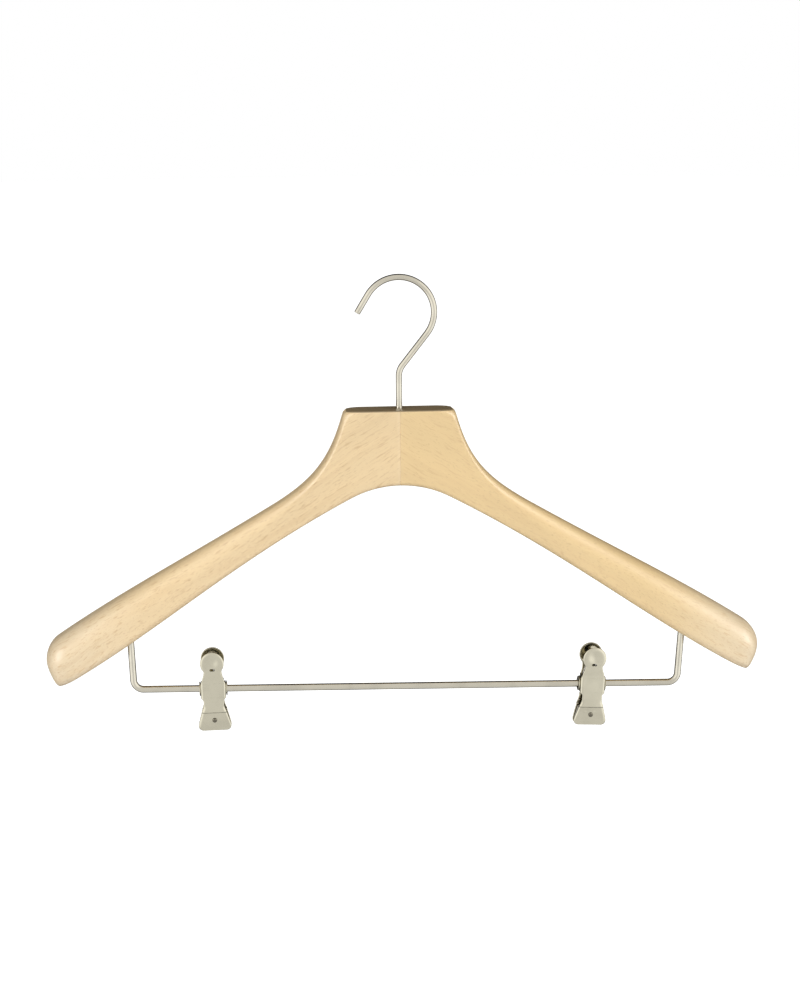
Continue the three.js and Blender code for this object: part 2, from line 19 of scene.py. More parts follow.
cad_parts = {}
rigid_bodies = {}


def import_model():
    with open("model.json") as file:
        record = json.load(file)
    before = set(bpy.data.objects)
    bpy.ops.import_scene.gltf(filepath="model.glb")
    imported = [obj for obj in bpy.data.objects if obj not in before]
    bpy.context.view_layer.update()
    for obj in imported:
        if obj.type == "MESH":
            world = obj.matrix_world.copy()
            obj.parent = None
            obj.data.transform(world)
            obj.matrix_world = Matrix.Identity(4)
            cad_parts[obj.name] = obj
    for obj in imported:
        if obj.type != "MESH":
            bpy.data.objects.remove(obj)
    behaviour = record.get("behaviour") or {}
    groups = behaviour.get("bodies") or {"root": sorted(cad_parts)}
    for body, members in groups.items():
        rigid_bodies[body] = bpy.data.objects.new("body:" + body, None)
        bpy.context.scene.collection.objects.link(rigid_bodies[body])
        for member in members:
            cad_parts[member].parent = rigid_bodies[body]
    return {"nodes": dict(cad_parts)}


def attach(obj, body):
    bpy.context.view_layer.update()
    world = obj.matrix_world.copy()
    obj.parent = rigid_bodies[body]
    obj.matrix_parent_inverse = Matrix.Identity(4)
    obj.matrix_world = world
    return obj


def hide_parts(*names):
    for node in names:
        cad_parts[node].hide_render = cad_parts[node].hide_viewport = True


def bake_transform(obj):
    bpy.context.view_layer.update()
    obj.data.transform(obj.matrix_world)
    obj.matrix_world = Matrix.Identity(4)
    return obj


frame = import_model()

log = logging.getLogger("clip_hanger")

Array = np.ndarray
Place = Callable[[Array, Array], Array]
Colour = tuple[float, float, float]
Sockets = bpy.types.bpy_prop_collection

MILLIMETRE = 0.001
WELD = 2e-7  # metres: points of a mesh that lie closer than this are one
SAME_POINT = 1e-9  # millimetres: points of a path that lie closer than this are one

# Clearances and sizes that several pieces share
FIT = 0.3
SLACK = 0.35
CUT_PAST = 3.0  # how far a cutting skin stands out past what it cuts
HANGER_WIDTH = 450.0
NECK_TOP = -81.7


class Side(Enum):
    """The two halves of the hanger, as the sign of their x."""

    LEFT = -1
    RIGHT = 1


class Jaw(Enum):
    """The two jaws of a clip, as the half turns that take a front jaw's drawing to each."""

    FRONT = 0
    REAR = 1


# Curves and grids


def smoothstep(value: Array, low: float, high: float) -> Array:
    """The cubic 3t^2 - 2t^3 of the share t of value between low and high."""
    share = np.clip((value - low) / (high - low), 0.0, 1.0)
    return share * share * (3.0 - 2.0 * share)


def line(start: Array, end: Array, count: int = 2) -> Array:
    """Evenly spaced points from start to end."""
    shares = np.linspace(0.0, 1.0, count)[:, None]
    return np.asarray(start) + shares * (np.asarray(end) - np.asarray(start))


def arc(centre: tuple[float, float], radius: float, start: float, end: float, count: int) -> Array:
    """Points on a circle: the centre plus the radius times the cosine and sine of even angles.

    Args:
        centre: the circle's centre.
        radius: its radius.
        start: the first angle in degrees.
        end: the last angle in degrees.
        count: how many points.

    Returns:
        An array of count rows of two.
    """
    angles = np.radians(np.linspace(start, end, count))
    return np.asarray(centre) + radius * np.stack([np.cos(angles), np.sin(angles)], axis=1)


def bezier(points: list, count: int) -> Array:
    """The cubic through the first and last of four points, weighted by (1-t)^3, 3t(1-t)^2, 3t^2(1-t), t^3.

    Args:
        points: the four control points, in two or three dimensions.
        count: how many points come back.

    Returns:
        An array of count rows.
    """
    t = np.linspace(0.0, 1.0, count)[:, None]
    a, b, c, d = (np.asarray(point, float) for point in points)
    return (1 - t) ** 3 * a + 3 * t * (1 - t) ** 2 * b + 3 * t**2 * (1 - t) * c + t**3 * d


def pulled(start: Array, end: Array, pulls: tuple, count: int = 40) -> Array:
    """A cubic between two points.

    Args:
        start: the first point.
        end: the last point.
        pulls: the control points' offsets from start and from end.
        count: how many points come back.

    Returns:
        An array of count rows.
    """
    return bezier([start, start + np.asarray(pulls[0]), end + np.asarray(pulls[1]), end], count)


def chain(*pieces: Array) -> Array:
    """Joins runs of points end to end and drops each point that repeats the one before."""
    points = np.concatenate(pieces)
    steps = np.linalg.norm(np.diff(points, axis=0), axis=1)
    return points[np.concatenate([[True], steps > SAME_POINT])]


def travel(points: Array) -> Array:
    """Distances along a polyline from its start to each of its points."""
    steps = np.linalg.norm(np.diff(points, axis=0), axis=1)
    return np.concatenate([[0.0], np.cumsum(steps)])


def at_shares(points: Array, shares: Array) -> Array:
    """Points at shares of a polyline's length, taken linearly between its own points."""
    travelled = travel(points)
    wanted = shares * travelled[-1]
    return np.stack([np.interp(wanted, travelled, column) for column in points.T], axis=1)


def upright(flat: Array, y: float = 0.0) -> Array:
    """Rows of x and z as points of an upright plane at y."""
    return np.insert(flat, 1, y, axis=1)


def unit(vectors: Array) -> Array:
    """Vectors of length one along the last axis."""
    return vectors / np.linalg.norm(vectors, axis=-1, keepdims=True)


def grid_quads(rows: int, columns: int, wrap: bool = False) -> Array:
    """Corner numbers of the quads of a grid whose points are stored row by row.

    Args:
        rows: rows of points.
        columns: points in a row.
        wrap: joins the last column to the first.

    Returns:
        An array of quads, four numbers each.
    """
    index = np.arange(rows * columns).reshape(rows, columns)
    if wrap:
        index = np.concatenate([index, index[:, :1]], axis=1)
    quads = np.stack([index[:-1, :-1], index[:-1, 1:], index[1:, 1:], index[1:, :-1]], axis=-1)
    return quads.reshape(-1, 4)


@dataclass
class Skin:
    """Points in millimetres and the quads between them."""

    points: Array
    quads: Array

    @classmethod
    def grid(cls, points: Array, wrap: bool = False) -> "Skin":
        """A skin over a grid of points with the axes row, column and coordinate."""
        rows, columns = points.shape[:2]
        return cls(points.reshape(-1, 3), grid_quads(rows, columns, wrap))

    def plus(self, *others: "Skin") -> "Skin":
        """This skin and others as one."""
        points, quads = [self.points], [self.quads]
        for other in others:
            quads.append(other.quads + sum(len(part) for part in points))
            points.append(other.points)
        return Skin(np.concatenate(points), np.concatenate(quads))

    def moved(self, matrix: Array) -> "Skin":
        """The skin under a 4 by 4 matrix."""
        return Skin(self.points @ matrix[:3, :3].T + matrix[:3, 3], self.quads)


def closed_rings(rings: Array) -> Skin:
    """A tube of rings whose two ends are drawn together to their middles.

    Args:
        rings: points with the axes ring, side and coordinate.

    Returns:
        The closed skin.
    """
    ends = rings[[0, -1]].mean(axis=1, keepdims=True) + np.zeros_like(rings[[0, -1]])
    return Skin.grid(np.concatenate([ends[:1], rings, ends[1:]]), wrap=True)


def sweep(path: Array, reference: tuple, radius: Array | float, sides: int) -> Skin:
    """A round section carried along a path.

    The section's first direction is square to the path and to the reference, the second is square to
    both, and each ring is the path's point plus the radius times the cosine and sine along the two.

    Args:
        path: points of the path.
        reference: a direction that the path never takes.
        radius: one radius, or one for each point.
        sides: points round the section.

    Returns:
        The closed skin.
    """
    apart = np.linalg.norm(np.diff(path, axis=0), axis=1) > SAME_POINT
    distinct = path[np.concatenate([[True], apart])]
    headings = np.gradient(distinct, axis=0)
    tangent = unit(headings[np.concatenate([[0], np.cumsum(apart)])])
    first = unit(np.cross(tangent, np.asarray(reference, float)))
    second = np.cross(tangent, first)
    angles = np.linspace(0.0, 2.0 * np.pi, sides, endpoint=False)
    radii = np.broadcast_to(radius, len(path))[:, None, None]
    around = np.cos(angles)[None, :, None] * first[:, None] + np.sin(angles)[None, :, None] * second[:, None]
    return closed_rings(path[:, None] + radii * around)


def lathe(profile: Array, sides: int) -> Skin:
    """A profile of radius and height turned about Z: radius times cosine and sine, and the height.

    Args:
        profile: rows of radius and height. A loop, or a line from axis to axis, makes a closed skin.
        sides: points round the axis.

    Returns:
        The skin.
    """
    angles = np.linspace(0.0, 2.0 * np.pi, sides, endpoint=False)
    radius, height = profile[:, :1], profile[:, 1:]
    rings = np.stack([radius * np.cos(angles), radius * np.sin(angles), height + 0.0 * angles], axis=-1)
    return Skin.grid(rings, wrap=True)


def rod(start: Array, end: Array, radius: float, sides: int = 64) -> Skin:
    """A plain round bar between two points."""
    heading = unit(np.asarray(end, float) - np.asarray(start, float))
    reference = np.eye(3)[np.argmin(np.abs(heading))]
    return sweep(line(start, end), tuple(reference), radius, sides)


def turn_to(direction: Array, place: Array) -> Array:
    """The 4 by 4 matrix that takes +Z to a direction and the origin to a place."""
    matrix = Vector((0.0, 0.0, 1.0)).rotation_difference(Vector(direction)).to_matrix().to_4x4()
    matrix.translation = Vector(place)
    return np.array(matrix)


# Sheet metal and pads


@dataclass
class BentSheet:
    """A sheet with a rounded edge all round, cut flat to an outline and then bent.

    Attributes:
        outline: right half of the flat outline from its top to its bottom, rows of across and height.
        place: takes across and height on the flat sheet to points of the bent sheet's middle.
        thickness: of the sheet.
        columns: takes the rows' half widths and heights to places across, from the middle outwards.
        edge_steps: facets across the rounded edge.
    """

    outline: Array
    place: Place
    thickness: float
    columns: Callable[[Array, Array], Array]
    edge_steps: int = 6

    def directions(self, across: Array, height: Array) -> tuple[Array, Array, Array]:
        """Unit vectors along the row, along the column and out of the sheet, from differences of place."""
        step = 0.01
        along_row = unit(self.place(across + step, height) - self.place(across - step, height))
        along_column = unit(self.place(across, height + step) - self.place(across, height - step))
        return along_row, along_column, unit(np.cross(along_row, along_column))

    def skin(self) -> Skin:
        """Two faces half the thickness either side of the middle, and a half round between their edges.

        Returns:
            The closed skin.
        """
        radius = self.thickness / 2.0
        tangent = unit(np.gradient(self.outline, axis=0))
        normal = np.stack([-tangent[:, 1], tangent[:, 0]], axis=1)
        inner = self.outline - radius * normal
        across = self.columns(inner[:, 0], inner[:, 1])
        across = np.concatenate([-across[:, :0:-1], across], axis=1)
        height = np.broadcast_to(inner[:, 1:], across.shape)
        middle = self.place(across, height)
        out = self.directions(across, height)[2]
        faces = [Skin.grid(middle + radius * out), Skin.grid(middle - radius * out)]
        return faces[0].plus(faces[1], self.edge(across, height, normal))

    def edge(self, across: Array, height: Array, normal: Array) -> Skin:
        """The half round: the rim's point plus the radius times cosine outwards and sine out of the sheet.

        Args:
            across: places across of the grid's points.
            height: heights of the grid's points.
            normal: outward normals of the right half of the flat outline.

        Returns:
            The strip round the sheet.
        """
        columns = across.shape[1]
        up = np.tile([0.0, 1.0], (columns - 2, 1))
        left = normal * [-1.0, 1.0]

        def loop(grid: Array) -> Array:
            """Values round the grid's rim: top row, right side, bottom row and left side."""
            return np.concatenate([grid[0, :-1], grid[:-1, -1], grid[-1, :0:-1], grid[:0:-1, 0]])

        flat = np.concatenate([left[:1], up, normal[:-1], normal[-1:], -up, left[:0:-1]])
        rim_across, rim_height = loop(across), loop(height)
        along_row, along_column, out = self.directions(rim_across, rim_height)
        outward = unit(flat[:, :1] * along_row + flat[:, 1:] * along_column)
        angles = np.linspace(np.pi / 2.0, -np.pi / 2.0, self.edge_steps + 1)[:, None, None]
        rim = self.place(rim_across, rim_height)
        radius = self.thickness / 2.0
        return Skin.grid(rim + radius * (np.cos(angles) * outward + np.sin(angles) * out), wrap=True)


# Meshes


def make_piece(name: str, skin: Skin, sharp: float = 40.0) -> bpy.types.Object:
    """Makes a skin into an object at the origin, with its seams and poles closed and its faces outwards.

    Args:
        name: of the object and its mesh.
        skin: points in millimetres and quads.
        sharp: edges that turn by more than this many degrees stay sharp.

    Returns:
        The object.
    """
    mesh = bpy.data.meshes.new(name)
    mesh.from_pydata((skin.points * MILLIMETRE).tolist(), [], skin.quads.tolist())
    shape = bmesh.new()
    shape.from_mesh(mesh)
    bmesh.ops.remove_doubles(shape, verts=shape.verts, dist=WELD)
    bmesh.ops.recalc_face_normals(shape, faces=shape.faces)
    shape.to_mesh(mesh)
    shape.free()
    shade(mesh, sharp)
    piece = bpy.data.objects.new(name, mesh)
    bpy.context.scene.collection.objects.link(piece)
    return piece


def shade(mesh: bpy.types.Mesh, sharp: float) -> None:
    """Shades a mesh smooth apart from edges that turn by more than sharp degrees."""
    mesh.shade_smooth()
    mesh.set_sharp_from_angle(angle=math.radians(sharp))


def cut(piece: bpy.types.Object, tools: list[Skin], sharp: float = 40.0) -> None:
    """Takes skins away from a piece and keeps the result as the piece's own mesh.

    Slivers that the cut leaves are welded away, and a hole of up to four sides in their place is filled.

    Args:
        piece: the object to cut.
        tools: closed skins.
        sharp: edges that turn by more than this many degrees stay sharp.
    """
    cutters = [make_piece(f"cutter_{number}", tool) for number, tool in enumerate(tools)]
    for cutter in cutters:
        modifier = piece.modifiers.new(cutter.name, "BOOLEAN")
        modifier.operation = "DIFFERENCE"
        modifier.solver = "EXACT"
        modifier.object = cutter
    whole = piece.evaluated_get(bpy.context.evaluated_depsgraph_get())
    mesh = bpy.data.meshes.new_from_object(whole)
    piece.modifiers.clear()
    old = piece.data
    mesh.name = piece.name
    piece.data = mesh
    bpy.data.meshes.remove(old)
    for cutter in cutters:
        bpy.data.meshes.remove(cutter.data)
    shape = bmesh.new()
    shape.from_mesh(mesh)
    bmesh.ops.remove_doubles(shape, verts=shape.verts, dist=WELD)
    bmesh.ops.dissolve_degenerate(shape, edges=shape.edges, dist=WELD)
    bmesh.ops.holes_fill(shape, edges=shape.edges, sides=4)
    shape.to_mesh(mesh)
    shape.free()
    shade(mesh, sharp)


def dress(piece: bpy.types.Object, finish: "Finish", body: str, *nodes: str) -> None:
    """Gives a new piece its material and slot, sets it on a body and lets it stand for CAD nodes.

    Args:
        piece: the object.
        finish: its finish.
        body: the CAD body that it moves with.
        nodes: the CAD nodes that it stands for.
    """
    piece.data.materials.clear()
    piece.data.materials.append(finish.material())
    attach(piece, body)
    note(piece, finish, *nodes)


def note(piece: bpy.types.Object, finish: "Finish", *nodes: str) -> None:
    """Hides the CAD nodes that a piece stands for, and reports it."""
    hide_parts(*nodes)
    log.info("%s: %d faces, stands for %s", piece.name, len(piece.data.polygons), ", ".join(nodes))


# Finishes


class Nodes:
    """Adds nodes to a shader tree and joins them."""

    def __init__(self, tree: bpy.types.NodeTree) -> None:
        """Keeps the tree that the nodes go into."""
        self.tree = tree

    @classmethod
    def of(cls, owner: bpy.types.Material | bpy.types.World) -> "Nodes":
        """The emptied shader tree of a material or a world."""
        owner.use_nodes = True
        owner.node_tree.nodes.clear()
        return cls(owner.node_tree)

    def add(self, kind: str, sockets: dict | None = None, **settings) -> bpy.types.Node:
        """Adds a node.

        Args:
            kind: the node's type, without its ShaderNode prefix where it has one.
            sockets: values or other nodes' outputs, by input name or number.
            settings: the node's own properties.

        Returns:
            The node.
        """
        name = kind if kind.startswith("Node") else f"ShaderNode{kind}"
        made = self.tree.nodes.new(name)
        for key, value in settings.items():
            setattr(made, key, value)
        self.feed(made.inputs, sockets or {})
        return made

    def feed(self, inputs: Sockets, sockets: dict) -> None:
        """Sets a node's inputs or joins them to other nodes.

        Args:
            inputs: the node's inputs.
            sockets: values or other nodes' outputs, by input name or number.
        """
        for key, value in sockets.items():
            if isinstance(value, bpy.types.NodeSocket):
                self.tree.links.new(value, inputs[key])
            else:
                inputs[key].default_value = value

    def noise(self, vector: bpy.types.NodeSocket, scale: tuple, detail: float) -> bpy.types.NodeSocket:
        """Noise of a vector that is first stretched by three factors."""
        stretched = self.add("VectorMath", {0: vector, 1: scale}, operation="MULTIPLY")
        made = self.add("TexNoise", {"Vector": stretched.outputs[0], "Scale": 1.0, "Detail": detail})
        return made.outputs["Fac"]

    def span(self, value: bpy.types.NodeSocket, source: tuple, target: tuple) -> bpy.types.NodeSocket:
        """Maps one range to another along a smooth step."""
        sockets = {"Value": value, 1: source[0], 2: source[1], 3: target[0], 4: target[1]}
        return self.add("MapRange", sockets, interpolation_type="SMOOTHSTEP").outputs[0]

    def math(self, operation: str, first: object, second: object) -> bpy.types.NodeSocket:
        """One step of arithmetic on two values."""
        return self.add("Math", {0: first, 1: second}, operation=operation).outputs[0]

    def mix(self, share: object, first: object, second: object, blend: str = "MIX") -> bpy.types.NodeSocket:
        """Mixes two colours by a share."""
        sockets = {0: share, 6: first, 7: second}
        return self.add("Mix", sockets, data_type="RGBA", blend_type=blend).outputs[2]


GROUP_OUTPUTS = {"Color": "Color", "Roughness": "Float", "Height": "Float"}


def shader_group(name: str, inputs: dict[str, str]) -> tuple[Nodes, Sockets, Sockets]:
    """Starts a shader node group that puts out a surface's colour, roughness and height.

    Args:
        name: of the group.
        inputs: kinds of socket by name.

    Returns:
        The tree's nodes, what goes in by name and what comes out by name.
    """
    tree = bpy.data.node_groups.new(name, "ShaderNodeTree")
    for way, sockets in (("INPUT", inputs), ("OUTPUT", GROUP_OUTPUTS)):
        for title, kind in sockets.items():
            tree.interface.new_socket(title, in_out=way, socket_type=f"NodeSocket{kind}")
    nodes = Nodes(tree)
    start, end = nodes.add("NodeGroupInput"), nodes.add("NodeGroupOutput")
    return nodes, start.outputs, end.inputs


# Cells of the noises in a metre, for beech along the grain, across it and through it
DRIFT_CELLS = 16.0
RING_CELLS = (9.0, 110.0, 300.0)
DASH_CELLS = (110.0, 700.0, 900.0)
FLECK_CELLS = (330.0, 1700.0, 1900.0)
SHADE_CELLS = (7.0, 24.0, 34.0)
SMEAR_CELLS = (70.0, 70.0, 70.0)
RIPPLE_CELLS = (420.0, 420.0, 420.0)
PATCH_CELLS = (300.0, 300.0, 300.0)
GRAIN_CELLS = (3000.0, 3000.0, 3000.0)
DRIFT = (0.0, 0.006, 0.012)  # metres that the beech's lines wander


def beech_figure() -> bpy.types.NodeTree:
    """The group for beech, with the grain along the vector's x: growth lines, short flecks and slow shades.

    Returns:
        The node group, built on its first call.
    """
    name = "beech_figure"
    if name in bpy.data.node_groups:
        return bpy.data.node_groups[name]
    inputs = {"Vector": "Vector", "Ground": "Color", "Line": "Color", "Fleck": "Color",
              "Lines": "Float", "Flecks": "Float"}
    nodes, given, made = shader_group(name, inputs)
    drift = nodes.add("TexNoise", {"Vector": given["Vector"], "Scale": DRIFT_CELLS, "Detail": 2.0})
    centred = nodes.add("VectorMath", {0: drift.outputs["Color"], 1: (0.5, 0.5, 0.5)}, operation="SUBTRACT")
    shift = nodes.add("VectorMath", {0: centred.outputs[0], 1: DRIFT}, operation="MULTIPLY")
    wavy = nodes.add("VectorMath", {0: given["Vector"], 1: shift.outputs[0]}, operation="ADD").outputs[0]
    rings = nodes.span(nodes.noise(wavy, RING_CELLS, 3.0), (0.46, 0.7), (0.0, 0.35))
    dashes = nodes.span(nodes.noise(wavy, DASH_CELLS, 2.0), (0.52, 0.74), (0.0, 1.0))
    lines = nodes.math("MULTIPLY", nodes.math("MAXIMUM", rings, dashes), given["Lines"])
    specks = nodes.span(nodes.noise(given["Vector"], FLECK_CELLS, 1.0), (0.6, 0.74), (0.0, 1.0))
    flecks = nodes.math("MULTIPLY", specks, given["Flecks"])
    shade_value = nodes.noise(given["Vector"], SHADE_CELLS, 2.0)
    tone = nodes.span(shade_value, (0.3, 0.7), (0.95, 1.03))
    colour = nodes.mix(lines, given["Ground"], given["Line"])
    colour = nodes.mix(flecks, colour, given["Fleck"])
    grey = nodes.add("CombineColor", {0: tone, 1: tone, 2: tone}).outputs[0]
    nodes.feed(made, {
        "Color": nodes.mix(1.0, colour, grey, "MULTIPLY"),
        "Roughness": nodes.span(shade_value, (0.3, 0.7), (0.36, 0.46)),
        "Height": nodes.math("ADD", lines, flecks),
    })
    return nodes.tree


def plate_marks() -> bpy.types.NodeTree:
    """The group for plated and drawn metal: smears that change the gloss, and a fine ripple.

    Returns:
        The node group, built on its first call.
    """
    name = "plate_marks"
    if name in bpy.data.node_groups:
        return bpy.data.node_groups[name]
    inputs = {"Vector": "Vector", "Metal": "Color", "Gloss Low": "Float", "Gloss High": "Float"}
    nodes, given, made = shader_group(name, inputs)
    smears = nodes.span(nodes.noise(given["Vector"], SMEAR_CELLS, 3.0), (0.35, 0.7), (0.0, 1.0))
    spread = nodes.math("SUBTRACT", given["Gloss High"], given["Gloss Low"])
    rough = nodes.math("ADD", nodes.math("MULTIPLY", smears, spread), given["Gloss Low"])
    ripple = nodes.noise(given["Vector"], RIPPLE_CELLS, 2.0)
    dull = nodes.span(smears, (0.0, 1.0), (1.0, 0.93))
    grey = nodes.add("CombineColor", {0: dull, 1: dull, 2: dull}).outputs[0]
    metal = nodes.mix(1.0, given["Metal"], grey, "MULTIPLY")
    nodes.feed(made, {"Color": metal, "Roughness": rough, "Height": ripple})
    return nodes.tree


@dataclass(frozen=True)
class Finish:
    """A finish that goes on one of the record's material slots.

    Attributes:
        name: of the material.
        slot: the record's slot; not used.
    """

    name: str
    slot: str

    def material(self) -> bpy.types.Material:
        """The material, made on the first call."""
        if self.name in bpy.data.materials:
            return bpy.data.materials[self.name]
        made = bpy.data.materials.new(self.name)
        nodes = Nodes.of(made)
        surface = nodes.add("BsdfPrincipled")
        nodes.add("OutputMaterial", {"Surface": surface.outputs[0]})
        self.paint(nodes, surface, nodes.add("TexCoord").outputs["Object"])
        return made

    def paint(self, nodes: Nodes, surface: bpy.types.Node, place: bpy.types.NodeSocket) -> None:
        """Joins the finish's pattern to the surface shader."""
        raise NotImplementedError

    def use_group(self, nodes: Nodes, surface: bpy.types.Node, group: bpy.types.NodeTree, sockets: dict,
                  bump: float) -> None:
        """Feeds a group's colour, roughness and height to a surface.

        Args:
            nodes: the material's nodes.
            surface: its shader.
            group: the effect.
            sockets: the group's values.
            bump: distance that the height stands for, in metres.
        """
        pattern = nodes.add("Group", sockets, node_tree=group).outputs
        relief = nodes.add("Bump", {"Strength": 0.5, "Distance": bump, "Height": pattern["Height"]})
        nodes.feed(surface.inputs, {
            "Base Color": pattern["Color"],
            "Roughness": pattern["Roughness"],
            "Normal": relief.outputs[0],
        })


@dataclass(frozen=True)
class Beech(Finish):
    """Lacquered beech. The grain is turned about Y so that it runs along an arm.

    Attributes:
        turn: the grain's angle in degrees.
        ground: colour between the growth lines.
        line: colour of the growth lines.
        fleck: colour of the short flecks.
        lines: strength of the growth lines.
        flecks: strength of the flecks.
        lacquer: weight of the clear coat.
        pale: colour between the growth lines at the tips, a painted highlight that stands in for the
            lacquer's broad sheen there.
        tip_highlight_reach: distances from the seam between which the painted highlight comes in, in
            millimetres.
        top_shade_colour: painted shade on the neck's top, darker as though little light falls on it from
            above.
        top_shade_figure: share of the lines and flecks that is left under the painted shade.
        top_shade_fade: depths under the neck's top between which the painted shade comes in, in millimetres.
        pores: how deep the lines and flecks lie, in metres.
        coat_roughness: roughness of the clear coat.
    """

    turn: float
    ground: Colour
    line: Colour
    fleck: Colour
    lines: float
    flecks: float
    lacquer: float
    # Painted highlight towards the tips
    pale: Colour = (0.85, 0.69, 0.465)
    tip_highlight_reach: tuple[float, float] = (150.0, 222.0)
    # Painted shade on the neck's top
    top_shade_colour: Colour = (0.25, 0.183, 0.098)
    top_shade_figure: float = 0.15
    top_shade_fade: tuple[float, float] = (1.0, 0.4)
    pores: float = 0.00003
    coat_roughness: float = 0.38

    def paint(self, nodes: Nodes, surface: bpy.types.Node, place: bpy.types.NodeSocket) -> None:
        """Turns the pattern's place, paints shade on the neck's top and a highlight towards the tips, then
        feeds the beech group to the surface.
        """
        turned = nodes.add("Mapping", {"Vector": place, "Rotation": (0.0, math.radians(self.turn), 0.0)})
        along = nodes.add("SeparateXYZ", {0: place}).outputs
        height = along["Z"]
        # Painted shade: the neck's top is darkened within its last millimetre, and its lines and flecks fade
        # there, as though little light falls on it from above.
        edge = tuple((NECK_TOP - depth) * MILLIMETRE for depth in self.top_shade_fade)
        # Painted highlight: the ground turns paler and less yellow towards the tips, in place of the
        # lacquer's broad sheen there.
        reach = tuple(distance * MILLIMETRE for distance in self.tip_highlight_reach)
        tip_highlight_share = nodes.span(nodes.math("ABSOLUTE", along["X"], 0.0), reach, (0.0, 1.0))
        ground = nodes.mix(tip_highlight_share, (*self.ground, 1.0), (*self.pale, 1.0))
        # The painted shade on the neck's top goes over the ground, and the lines and flecks fade under it.
        ground = nodes.mix(nodes.span(height, edge, (0.0, 1.0)), ground, (*self.top_shade_colour, 1.0))
        lines = nodes.span(height, edge, (self.lines, self.top_shade_figure * self.lines))
        flecks = nodes.span(height, edge, (self.flecks, self.top_shade_figure * self.flecks))
        sockets = {"Vector": turned.outputs[0], "Ground": ground, "Line": (*self.line, 1.0),
                   "Fleck": (*self.fleck, 1.0), "Lines": lines, "Flecks": flecks}
        self.use_group(nodes, surface, beech_figure(), sockets, -self.pores)
        nodes.feed(surface.inputs, {"Coat Weight": self.lacquer, "Coat Roughness": self.coat_roughness})


@dataclass(frozen=True)
class Metal(Finish):
    """Plated or drawn metal.

    Attributes:
        colour: what it reflects.
        gloss: least and greatest roughness.
        ripple: height of the fine ripple in metres.
    """

    colour: Colour
    gloss: tuple[float, float]
    ripple: float

    def paint(self, nodes: Nodes, surface: bpy.types.Node, place: bpy.types.NodeSocket) -> None:
        """Feeds the metal group to the surface."""
        sockets = {"Vector": place, "Metal": (*self.colour, 1.0), "Gloss Low": self.gloss[0],
                   "Gloss High": self.gloss[1]}
        self.use_group(nodes, surface, plate_marks(), sockets, self.ripple)
        nodes.feed(surface.inputs, {"Metallic": 1.0})


@dataclass(frozen=True)
class Rubber(Finish):
    """Matt moulded rubber with a fine grain and paler rubbed spots.

    Attributes:
        colour: of the rubber.
        rubbed: colour of the rubbed spots.
        grain: height of the fine grain in metres.
    """

    colour: Colour
    rubbed: Colour
    grain: float = 0.00005

    def paint(self, nodes: Nodes, surface: bpy.types.Node, place: bpy.types.NodeSocket) -> None:
        """Mixes the two colours by slow noise and puts fine noise into the relief."""
        patches = nodes.span(nodes.noise(place, PATCH_CELLS, 3.0), (0.4, 0.7), (0.0, 1.0))
        colour = nodes.mix(patches, (*self.colour, 1.0), (*self.rubbed, 1.0))
        grain = nodes.noise(place, GRAIN_CELLS, 2.0)
        relief = nodes.add("Bump", {"Strength": 0.4, "Distance": self.grain, "Height": grain})
        rough = nodes.span(patches, (0.0, 1.0), (0.7, 0.85))
        nodes.feed(surface.inputs, {"Base Color": colour, "Roughness": rough, "Normal": relief.outputs[0]})


GRAIN_LEAN = 31.0  # degrees, about the slope of the arms
LEFT_BEECH = Beech("left_beech", "beech_left", GRAIN_LEAN, (0.84, 0.64, 0.372), (0.69, 0.48, 0.25),
                   (0.60, 0.40, 0.21), 0.9, 0.5, 1.0)
RIGHT_BEECH = Beech("right_beech", "beech_right", -GRAIN_LEAN, (0.83, 0.612, 0.315), (0.70, 0.475, 0.235),
                    (0.61, 0.41, 0.20), 0.6, 0.55, 1.0)
DOWEL_BEECH = Beech("dowel_beech", "dowel_wood", 0.0, (0.70, 0.49, 0.26), (0.58, 0.38, 0.18),
                    (0.50, 0.32, 0.15), 0.6, 0.6, 0.0)
NICKEL_WIRE = Metal("polished_wire", "nickel_wire", (0.62, 0.585, 0.49), (0.12, 0.22), 0.000003)
NICKEL_SHEET = Metal("polished_sheet", "nickel_sheet", (0.61, 0.575, 0.455), (0.06, 0.15), 0.000004)
SPRING_STEEL = Metal("drawn_spring", "spring_steel", (0.34, 0.33, 0.31), (0.25, 0.42), 0.000003)
RIVET_STEEL = Metal("dull_rivet", "nickel_sheet", (0.17, 0.155, 0.12), (0.35, 0.5), 0.000004)
ZINC = Metal("zinc_fitting", "zinc_plate", (0.47, 0.48, 0.47), (0.3, 0.5), 0.00001)
PAD_RUBBER = Rubber("moulded_pad", "pad_rubber", (0.28, 0.26, 0.22), (0.36, 0.34, 0.29))


# Sub-assemblies


